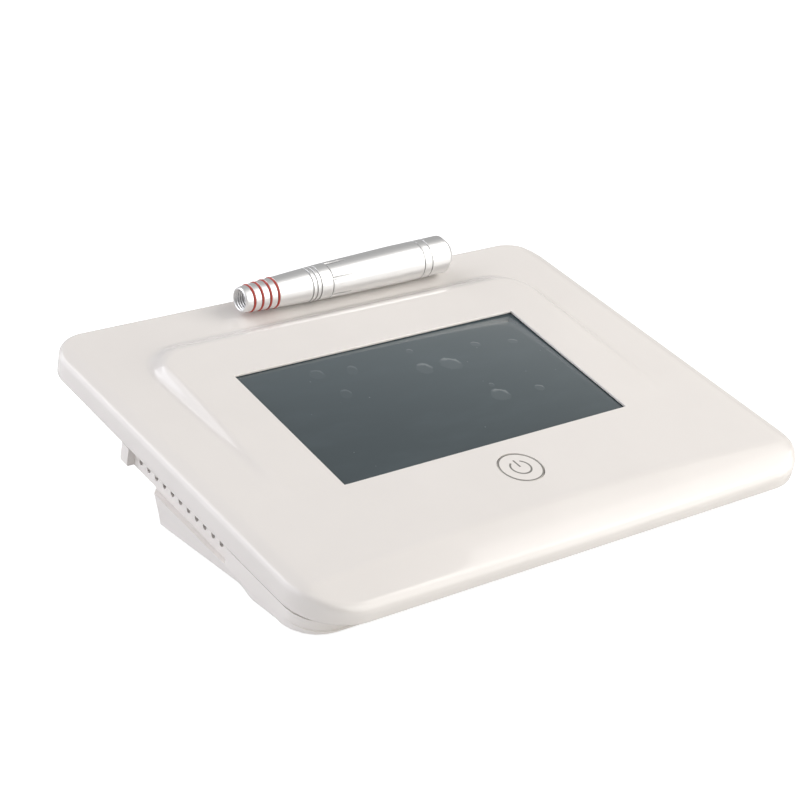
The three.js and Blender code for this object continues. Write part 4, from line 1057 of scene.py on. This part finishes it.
def mark_groove_shade(piece):
    """Notes on each point how deep it lies in a groove of the handpiece's outside, for the painted shade
    there.
    """
    back = np.array(pen_matrix().inverted())
    points = np.array([v.co for v in piece.data.vertices]) / MM @ back[:3, :3].T + back[:3, 3]
    x = points[:, 0]
    below = np.array([pen_radius(place) for place in x]) - np.hypot(points[:, 1], points[:, 2])
    deepest, full, rim, chamfer = 0.7, 0.3, 1.2, 4.0
    outside = (below < deepest) & (x > rim) & (x < PEN_END - chamfer)
    layer = piece.data.attributes.new("groove", "FLOAT", "POINT")
    layer.data.foreach_set("value", np.where(outside, np.clip(below / full, 0, 1), 0).astype(np.float32))


def grip_profile():
    """The mouth's lip, the outside with its grooves, the spigot, and the hollow and threaded bore inside."""
    marks = [(x, 0.7, groove(x, RING_GROOVE)) for x in RINGS]
    marks += [(x, 0.5, groove(x, FINE_GROOVE)) for x in FINE_GROOVES]
    profile = [(0.0, THREAD_RADIUS + 0.35), (0.0, MOUTH - 0.4), (0.08, MOUTH - 0.2), (0.3, MOUTH - 0.02)]
    x = 0.8
    while x < GRIP_END - 0.3:
        if marks and x >= marks[0][0] - marks[0][1] - 0.2:
            middle, half, points = marks.pop(0)
            profile += points
            x = middle + half + 0.35
        else:
            profile.append((x, pen_radius(x)))
            x += 0.6
    profile += eased_edge(GRIP_END, WAIST, 1)
    profile += [(GRIP_END, SPIGOT_RADIUS), (SPIGOT_END, SPIGOT_RADIUS), (SPIGOT_END, HOLLOW_RADIUS)]
    profile += [(NECK[1], HOLLOW_RADIUS), (NECK[1], NECK_RADIUS), (NECK[0], NECK_RADIUS)]
    profile += [(x, THREAD_RADIUS) for x in (NECK[0], *np.arange(THREAD_END - 0.1, 0.45, -THREAD_STEP))]
    return profile + [(0.3, THREAD_RADIUS + 0.05)]


class OBJECT_OT_machine_handpiece(bpy.types.Operator):
    """Make the handpiece: threaded grip, fluted barrel and chamfered cap"""
    bl_idname = "object.machine_handpiece"
    bl_label = "Handpiece"

    def execute(self, context):
        sizes, finishes = context.scene.handpiece_sizes, context.scene.machine_finishes
        turn = tuple(pen_matrix().inverted().to_euler())
        shift = tuple(-place * MM for place in pen_matrix().translation)
        metal = satin_metal("satin metal", finishes.metal, turn, shift)
        pieces = (
            (self.grip(sizes), "pen_grip"), (self.barrel(sizes), "pen_barrel"),
            (lathe("cap_turned", self.cap_profile(), full_turn(TURNED_SIDES)), "pen_cap"),
        )
        for piece, node in pieces:
            mark_groove_shade(piece)
            dress(piece, metal, "handpiece", "pen_metal", node)
        return {"FINISHED"}

    def grip(self, sizes):
        """The grip, with a thread in its mouth that fades in and out."""
        pitch, depth = sizes.thread_pitch / MM, sizes.thread_depth / MM

        def thread(x, radius, angles):
            if abs(radius - THREAD_RADIUS) > 0.01 or x > THREAD_END:
                return np.full(len(angles), radius)
            phase = (x / pitch - angles / (2 * math.pi)) % 1
            cut = np.clip(np.abs(phase - 0.5) * 4 - 0.6, 0, 1)
            fade = min(1, (THREAD_END - x) / 1.2, max(0, (x - 0.4) / 0.5))
            return radius - depth * (1 - cut) * fade + depth * 0.3

        return lathe("grip_turned", grip_profile(), full_turn(TURNED_SIDES), thread)

    def barrel(self, sizes):
        """The barrel, with finger flutes whose depth runs out towards the back."""
        front = GRIP_END + SEAM
        length, depth = sizes.flute_length / MM, sizes.flute_depth / MM
        apart = 360 / FLUTES
        fine, coarse = 9.5, 12
        turns = []
        for i in range(FLUTES):
            middle = apart * i + FLUTE_TURN
            turns += [*np.linspace(middle - fine, middle + fine, 20)]
            turns += [*np.linspace(middle + coarse, middle + apart - coarse, 9)]

        def flute(x, radius, angles):
            if radius <= BARREL_BORE or not front <= x <= front + length:
                return np.full(len(angles), radius)
            axis = WAIST + FLUTE_RADIUS - depth + (x - front) * (depth / length)
            off = (np.degrees(angles) - FLUTE_TURN + apart / 2) % apart - apart / 2
            side = np.radians(np.abs(off)) * radius
            cut = axis - np.sqrt(np.maximum(FLUTE_RADIUS ** 2 - side ** 2, 0))
            return np.where(side < FLUTE_RADIUS, np.minimum(radius, cut), radius)

        profile = eased_edge(front, WAIST, -1)[:2] + [(front + EASE, pen_radius(front + EASE))]
        places = [*np.arange(front + 0.6, front + length + 0.5, 0.4)]
        places += [*np.linspace(front + length + 1.5, FULL_FROM, 16)]
        places += [*np.linspace(FULL_FROM + 1, BARREL_END - EASE, 8)[:-1]]
        profile += [(x, pen_radius(x)) for x in places] + eased_edge(BARREL_END, BARREL, 1)
        profile += [(BARREL_END, BARREL_BORE), (front, BARREL_BORE)]
        return lathe("barrel_turned", profile, np.radians(turns), flute)

    def cap_profile(self):
        """The cap's outside with its groove and chamfer, the connector's hole and the bore."""
        front, end, face = BARREL_END + SEAM, PEN_END, PEN_END - SOCKET_FACE
        inner = front - CAP_SPIGOT
        profile = [(front, SPIGOT_RADIUS)] + eased_edge(front, BARREL, -1)
        profile += [(front + 1.5, BARREL), (front + 3, BARREL)] + groove(BARREL_END + 4.6, CAP_GROOVE)
        profile += [(x, BARREL) for x in np.linspace(BARREL_END + 6, end - 3.4, 6)]
        profile += [(end - 3.15, BARREL - 0.08), (end - 0.35, 6.75), (end - 0.1, 6.5), (end, 6.2)]
        profile += [(end, SOCKET_RADIUS + 0.3), (end - 0.3, SOCKET_RADIUS), (face, SOCKET_RADIUS)]
        return profile + [(face, CAP_BORE), (inner, CAP_BORE), (inner, SPIGOT_RADIUS)]


# Repeated pieces, by node trees

class Tree:
    """A geometry node tree with named inputs, a material among them."""

    def __init__(self, name, inputs):
        self.group = bpy.data.node_groups.new(name, "GeometryNodeTree")
        new_socket = self.group.interface.new_socket
        new_socket("Geometry", in_out="OUTPUT", socket_type="NodeSocketGeometry")
        self.sockets = {}
        for key, kind in {"Geometry": "Geometry", **inputs, "Material": "Material"}.items():
            self.sockets[key] = new_socket(key, in_out="INPUT", socket_type="NodeSocket" + kind)
        self.entry = self.group.nodes.new("NodeGroupInput")
        self.exit = self.group.nodes.new("NodeGroupOutput")

    def take(self, name):
        return self.entry.outputs[name]

    def node(self, kind, settings=None, values=None):
        made = self.group.nodes.new(kind)
        for key, value in (settings or {}).items():
            setattr(made, key, value)
        for key, value in (values or {}).items():
            if isinstance(value, bpy.types.NodeSocket):
                self.group.links.new(value, made.inputs[key])
            else:
                made.inputs[key].default_value = value
        return made

    def end(self, geometry):
        """Realises the geometry, gives it the material and sends it out."""
        real = self.node("GeometryNodeRealizeInstances", None, {0: geometry})
        values = {0: real.outputs[0], "Material": self.take("Material")}
        finish = self.node("GeometryNodeSetMaterial", None, values)
        self.group.links.new(finish.outputs[0], self.exit.inputs[0])

    def run(self, piece, values):
        """Makes the piece's mesh with the tree's inputs set."""
        change = piece.modifiers.new("make", "NODES")
        change.node_group = self.group
        for name, value in values.items():
            change[self.sockets[name].identifier] = value
        settle(piece)


BOX_FACES = ((0, 2, 3, 1), (4, 5, 7, 6), (0, 1, 5, 4), (2, 6, 7, 3), (0, 4, 6, 2), (1, 3, 7, 5))


def screw_shape(name, shank, head, rise, length):
    """Domed screw with a cross recess, its head's underside at the origin and its shank up, in metres."""
    profile = [(-rise * math.cos(t), head * math.sin(t)) for t in np.linspace(0, math.pi / 2, 7)[1:]]
    profile.append((0.0, shank))
    plain, valley = 0.3, 0.17
    for i in range(int((length - shank) / SCREW_PITCH)):
        crest = plain + i * SCREW_PITCH
        profile += [(crest, shank), (crest + valley, shank * 0.82)]
    profile.append((length - shank * 0.6, shank * 0.8))
    angles = full_turn(20)
    rings = [circle(radius, angles, level) * MM for level, radius in profile]
    made = rings_to_mesh(name, rings, looped=False)
    bar = (head * 0.5, head * 0.11)
    for across, up in (bar, bar[::-1]):
        levels = (-rise * 1.2, -rise * 0.45)
        corners = [(x, y, z) for z in levels for x in (-across, across) for y in (-up, up)]
        carve(made, make_mesh("recess", np.array(corners) * MM, BOX_FACES))
    smooth(made)
    return made


def screw_tree():
    """One screw on each point, turned by the point's attribute."""
    tree = Tree("screws", {"Screw": "Object", "Size": "Float"})
    shape = tree.node("GeometryNodeObjectInfo", None, {"Object": tree.take("Screw")})
    turn = tree.node("GeometryNodeInputNamedAttribute", {"data_type": "QUATERNION"}, {"Name": "turn"})
    placed = tree.node("GeometryNodeInstanceOnPoints", None, {
        "Points": tree.take("Geometry"), "Instance": shape.outputs["Geometry"], "Rotation": turn.outputs[0],
        "Scale": tree.take("Size")})
    tree.end(placed.outputs[0])
    return tree


class OBJECT_OT_machine_screws(bpy.types.Operator):
    """Make the case and board screws with cross recesses"""
    bl_idname = "object.machine_screws"
    bl_label = "Screws"

    def execute(self, context):
        steel = plain_metal("zinc", (0.55, 0.55, 0.56), 0.3)
        slope_turn, screen_turn, level_turn = (
            Matrix.Rotation(angle, 3, "X") for angle in (SLOPE, SLOPE + math.atan(RISE), math.pi))
        rows = (
            ("case_screw", CASE_SCREW, slope_turn), ("key_board_screw", BOARD_SCREW, slope_turn),
            ("display_screw", BOARD_SCREW, screen_turn), ("board_screw", BOARD_SCREW, level_turn),
        )
        tree = screw_tree()
        for kind, sizes, turn in rows:
            members = [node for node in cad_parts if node.startswith(kind)]
            shape = screw_shape(kind + "_shape", *sizes)
            middle = turn @ Vector((0, 0, (sizes[3] - sizes[2]) / 2 * MM))
            seats = []
            for member in members:
                low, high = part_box(member)
                seats.append(tuple((low + high) / 2 - middle))
            row = make_mesh(kind + "s", seats, [])
            turns = row.data.attributes.new("turn", "QUATERNION", "POINT")
            for place in turns.data:
                place.value = turn.to_quaternion()
            tree.run(row, {"Screw": shape, "Size": 1.0, "Material": steel})
            bpy.data.objects.remove(shape)
            smooth(row)
            dress(row, steel, "console", "steel", *members)
        return {"FINISHED"}


class OBJECT_OT_machine_rings(bpy.types.Operator):
    """Make the four red grip rings"""
    bl_idname = "object.machine_rings"
    bl_label = "Grip rings"

    def execute(self, context):
        sizes, finishes = context.scene.handpiece_sizes, context.scene.machine_finishes
        red = matt_polymer("red ring", finishes.ring, 0.5, 1600, 0.02)
        wire = sizes.ring_wire / MM
        for number, x in enumerate(RINGS, 1):
            seat = pen_radius(x) - 0.25
            profile = []
            for turn in np.linspace(0, 2 * math.pi, 20, endpoint=False):
                rise = math.cos(turn)
                flat = math.copysign(abs(rise) ** 0.8, rise)
                profile.append((x + wire * math.sin(turn), seat + wire * flat))

            def nub(place, radius, angles, last=number == len(RINGS), seat=seat):
                radii = np.full(len(angles), radius)
                if last and radius > seat:
                    off = np.abs((angles - NUB_TURN + math.pi) % (2 * math.pi) - math.pi)
                    radii = radii + NUB_HEIGHT * np.clip(1 - off / NUB_HALF, 0, 1)
                return radii

            ring = lathe(f"grip_ring_round_{number}", profile, full_turn(180), nub, SHARP_SOFT)
            dress(ring, red, "handpiece", "ring_red", f"grip_ring_{number}")
        return {"FINISHED"}


class OBJECT_OT_machine_spring(bpy.types.Operator):
    """Make the return spring as a wound wire"""
    bl_idname = "object.machine_spring"
    bl_label = "Return spring"

    def execute(self, context):
        sizes = context.scene.handpiece_sizes
        steel = plain_metal("spring wire", (0.52, 0.53, 0.55), 0.2, 900)
        tree = Tree("spring", {"Turns": "Float", "Radius": "Float", "Length": "Float", "Wire": "Float"})
        coil = tree.node("GeometryNodeCurveSpiral", None, {
            "Resolution": 40, "Rotations": tree.take("Turns"), "Start Radius": tree.take("Radius"),
            "End Radius": tree.take("Radius"), "Height": tree.take("Length")})
        round_wire = tree.node("GeometryNodeCurvePrimitiveCircle", None, {
            "Resolution": 12, "Radius": tree.take("Wire")})
        tube = tree.node("GeometryNodeCurveToMesh", None, {
            "Curve": coil.outputs[0], "Profile Curve": round_wire.outputs[0], "Fill Caps": True})
        tree.end(tube.outputs[0])
        spring = make_mesh("return_spring_wound", [(0, 0, 0)], [])
        start, end = SPRING[0] + SPRING_WIRE, SPRING[1] - SPRING_WIRE
        tree.run(spring, {
            "Turns": float(sizes.spring_turns), "Radius": COIL_RADIUS * MM, "Length": (end - start) * MM,
            "Wire": SPRING_WIRE * MM, "Material": steel})
        along = Matrix.Rotation(math.radians(90), 3, "Y")
        points = np.array([v.co for v in spring.data.vertices]) / MM
        turned = points @ np.array(along).T + np.array([start, 0, 0])
        spring.data.vertices.foreach_set("co", on_pen(turned).astype(np.float32).ravel())
        smooth(spring, SHARP_WIRE)
        dress(spring, steel, "needle_bar", "spring_steel", "return_spring")
        return {"FINISHED"}


class OBJECT_OT_machine_finishes(bpy.types.Operator):
    """Give the carried-over pieces their finishes"""
    bl_idname = "object.machine_finishes"
    bl_label = "Finishes of the other pieces"

    def execute(self, context):
        black = matt_polymer("black moulding", (0.02, 0.02, 0.022), 0.4, 900, 0.02)
        steel = plain_metal("bright steel", (0.56, 0.57, 0.58), 0.25)
        board = solder_mask("board", (0.012, 0.09, 0.045))
        cable = flat_cable("flat cable", (0.55, 0.55, 0.52))
        looks = {
            "screen_gasket": matt_polymer("foam", (0.02, 0.02, 0.022), 0.9, 1500, 0.15, 0.2),
            "display_panel": plain_metal("display back", (0.35, 0.36, 0.38), 0.42),
            "display_frame": plain_metal("pressed steel", (0.5, 0.5, 0.5), 0.32),
            "key_switch": black, "key_switch_stem": black, "key_board": board, "socket_board": board,
            "main_board": board, "dc_inlet": black, "pedal_socket": black, "handpiece_socket_1": black,
            "handpiece_socket_2": black, "display_ribbon": cable, "key_cable": cable, "socket_cable": cable,
            "pen_socket": black, "guide_bush": plain_metal("brass", (0.62, 0.42, 0.16), 0.25),
            "needle_bar": steel, "motor_shaft": steel, "motor_case": steel,
            "drive_cam": matt_polymer("acetal", (0.025, 0.025, 0.028), 0.35, 700, 0.01),
            "motor_lead": matt_polymer("lead sheath", (0.28, 0.025, 0.02), 0.45, 900, 0.02),
        }
        rubber = matt_polymer("foot rubber", (0.025, 0.025, 0.027), 0.8, 1400, 0.06)
        for name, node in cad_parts.items():
            if name.startswith("rubber_foot"):
                looks[name] = rubber
            if name in looks:
                node.data.materials.clear()
                node.data.materials.append(looks[name])
        return {"FINISHED"}


# Stage

def lamp(name, place, size, power, colour):
    """Rectangular lamp that looks at the machine."""
    light = bpy.data.lights.new(name, "AREA")
    light.shape, light.size, light.size_y, light.energy = "RECTANGLE", size[0], size[1], power
    light.color = colour
    made = bpy.data.objects.new(name, light)
    made.location = place
    made.rotation_euler = (LAMP_AIM - Vector(place)).to_track_quat("-Z", "Y").to_euler()
    bpy.context.scene.collection.objects.link(made)


class SCENE_OT_machine_stage(bpy.types.Operator):
    """Lay the floor, set the lamps and place the camera"""
    bl_idname = "scene.machine_stage"
    bl_label = "Stage"

    def execute(self, context):
        scene = context.scene
        corners = [(x * FLOOR_HALF, y * FLOOR_HALF, 0) for x, y in ((-1, -1), (1, -1), (1, 1), (-1, 1))]
        floor = make_mesh("floor", corners, [(0, 1, 2, 3)])
        floor.data.materials.append(self.floor_look())
        scene.world = self.soft_room()
        for name, values in LAMPS.items():
            lamp(name, *values)
        self.place_camera(scene)
        scene.view_settings.view_transform = "Standard"
        return {"FINISHED"}

    def floor_look(self):
        """Pale floor. The camera sees it lifted to white, with a lighter shadow."""
        look = Look("floor")
        cloud = look.noise(look.places(), 1.5, 2)
        pale = look.mix(cloud, (0.84, 0.84, 0.84), (0.88, 0.88, 0.88))
        diffuse = look.node("ShaderNodeBsdfDiffuse", None, {"Color": pale})
        glow = look.node("ShaderNodeEmission", None, {"Color": (1, 1, 1, 1), "Strength": 1.72})
        seen = look.node("ShaderNodeMixShader", None, {0: 0.5, 1: diffuse.outputs[0], 2: glow.outputs[0]})
        far = look.node("ShaderNodeBsdfDiffuse", None, {"Color": (0.7, 0.7, 0.7, 1)})
        path = look.node("ShaderNodeLightPath")
        by_gloss = look.node("ShaderNodeMixShader", None, {
            0: path.outputs["Is Glossy Ray"], 1: diffuse.outputs[0], 2: far.outputs[0]})
        shader = look.node("ShaderNodeMixShader", None, {
            0: path.outputs["Is Camera Ray"], 1: by_gloss.outputs[0], 2: seen.outputs[0]})
        return look.end(shader)

    def soft_room(self):
        """A pale room, dimmer where the camera stands. Gloss sees dark walls behind and a pale front."""
        look = Look("soft room", "worlds")
        x, y, z = look.split(look.node("ShaderNodeTexCoord").outputs["Generated"])
        near = (x * -0.63 + y * -0.78).ramp(0.2, 0.9)
        level = z.ramp(0.2, 0.5) * 0.06 + 0.25 - near * 0.15
        gloss = (-y).ramp(-0.2, 0.2) * z.ramp(-0.1, 0.25) * 0.55 + 0.42 - near * 0.55
        path = look.node("ShaderNodeLightPath")
        by_gloss = Value(look, path.outputs["Is Glossy Ray"])
        white = Value(look, path.outputs["Is Camera Ray"])
        level = level + (gloss - level) * by_gloss
        strength = level + (1.02 - level) * white
        values = {"Color": (1.0, 0.995, 0.985, 1.0), "Strength": strength}
        return look.end(look.node("ShaderNodeBackground", None, values), "ShaderNodeOutputWorld")

    def place_camera(self, scene):
        """Stands the camera where the photograph was taken."""
        data = bpy.data.cameras.new("camera")
        data.sensor_width, data.lens = 36.0, LENS
        data.clip_start, data.clip_end = 0.05, 50.0
        camera = bpy.data.objects.new("camera", data)
        turn = Matrix(CAMERA_AXES).to_quaternion().to_matrix().to_4x4()
        camera.matrix_world = Matrix.Translation(CAMERA_PLACE) @ turn
        scene.collection.objects.link(camera)
        scene.camera = camera


OPERATORS = (
    OBJECT_OT_machine_cover, OBJECT_OT_machine_base, OBJECT_OT_machine_key, OBJECT_OT_machine_screen,
    OBJECT_OT_machine_handpiece, OBJECT_OT_machine_rings, OBJECT_OT_machine_spring, OBJECT_OT_machine_screws,
    OBJECT_OT_machine_finishes, SCENE_OT_machine_stage,
)


class VIEW3D_PT_machine(bpy.types.Panel):
    """Panel that lists the machine's pieces."""
    bl_label = "Makeup machine"
    bl_space_type = "VIEW_3D"
    bl_region_type = "UI"
    bl_category = "Makeup machine"

    def draw(self, context):
        for key in GROUPS:
            group = getattr(context.scene, key)
            column = self.layout.column()
            for name in group.bl_rna.properties.keys():
                if name not in ("rna_type", "name"):
                    column.prop(group, name)
        for operator in OPERATORS:
            self.layout.operator(operator.bl_idname)


GROUPS = {"cover_sizes": CoverSizes, "handpiece_sizes": HandpieceSizes, "machine_finishes": Finishes}
CLASSES = (*GROUPS.values(), *OPERATORS, VIEW3D_PT_machine)


def register():
    for item in CLASSES:
        bpy.utils.register_class(item)
    for name, group in GROUPS.items():
        setattr(bpy.types.Scene, name, bpy.props.PointerProperty(type=group))


def unregister():
    for name in GROUPS:
        delattr(bpy.types.Scene, name)
    for item in reversed(CLASSES):
        bpy.utils.unregister_class(item)


def main():
    register()
    for operator in OPERATORS:
        family, name = operator.bl_idname.split(".")
        getattr(getattr(bpy.ops, family), name)()


if __name__ == "__main__":
    main()
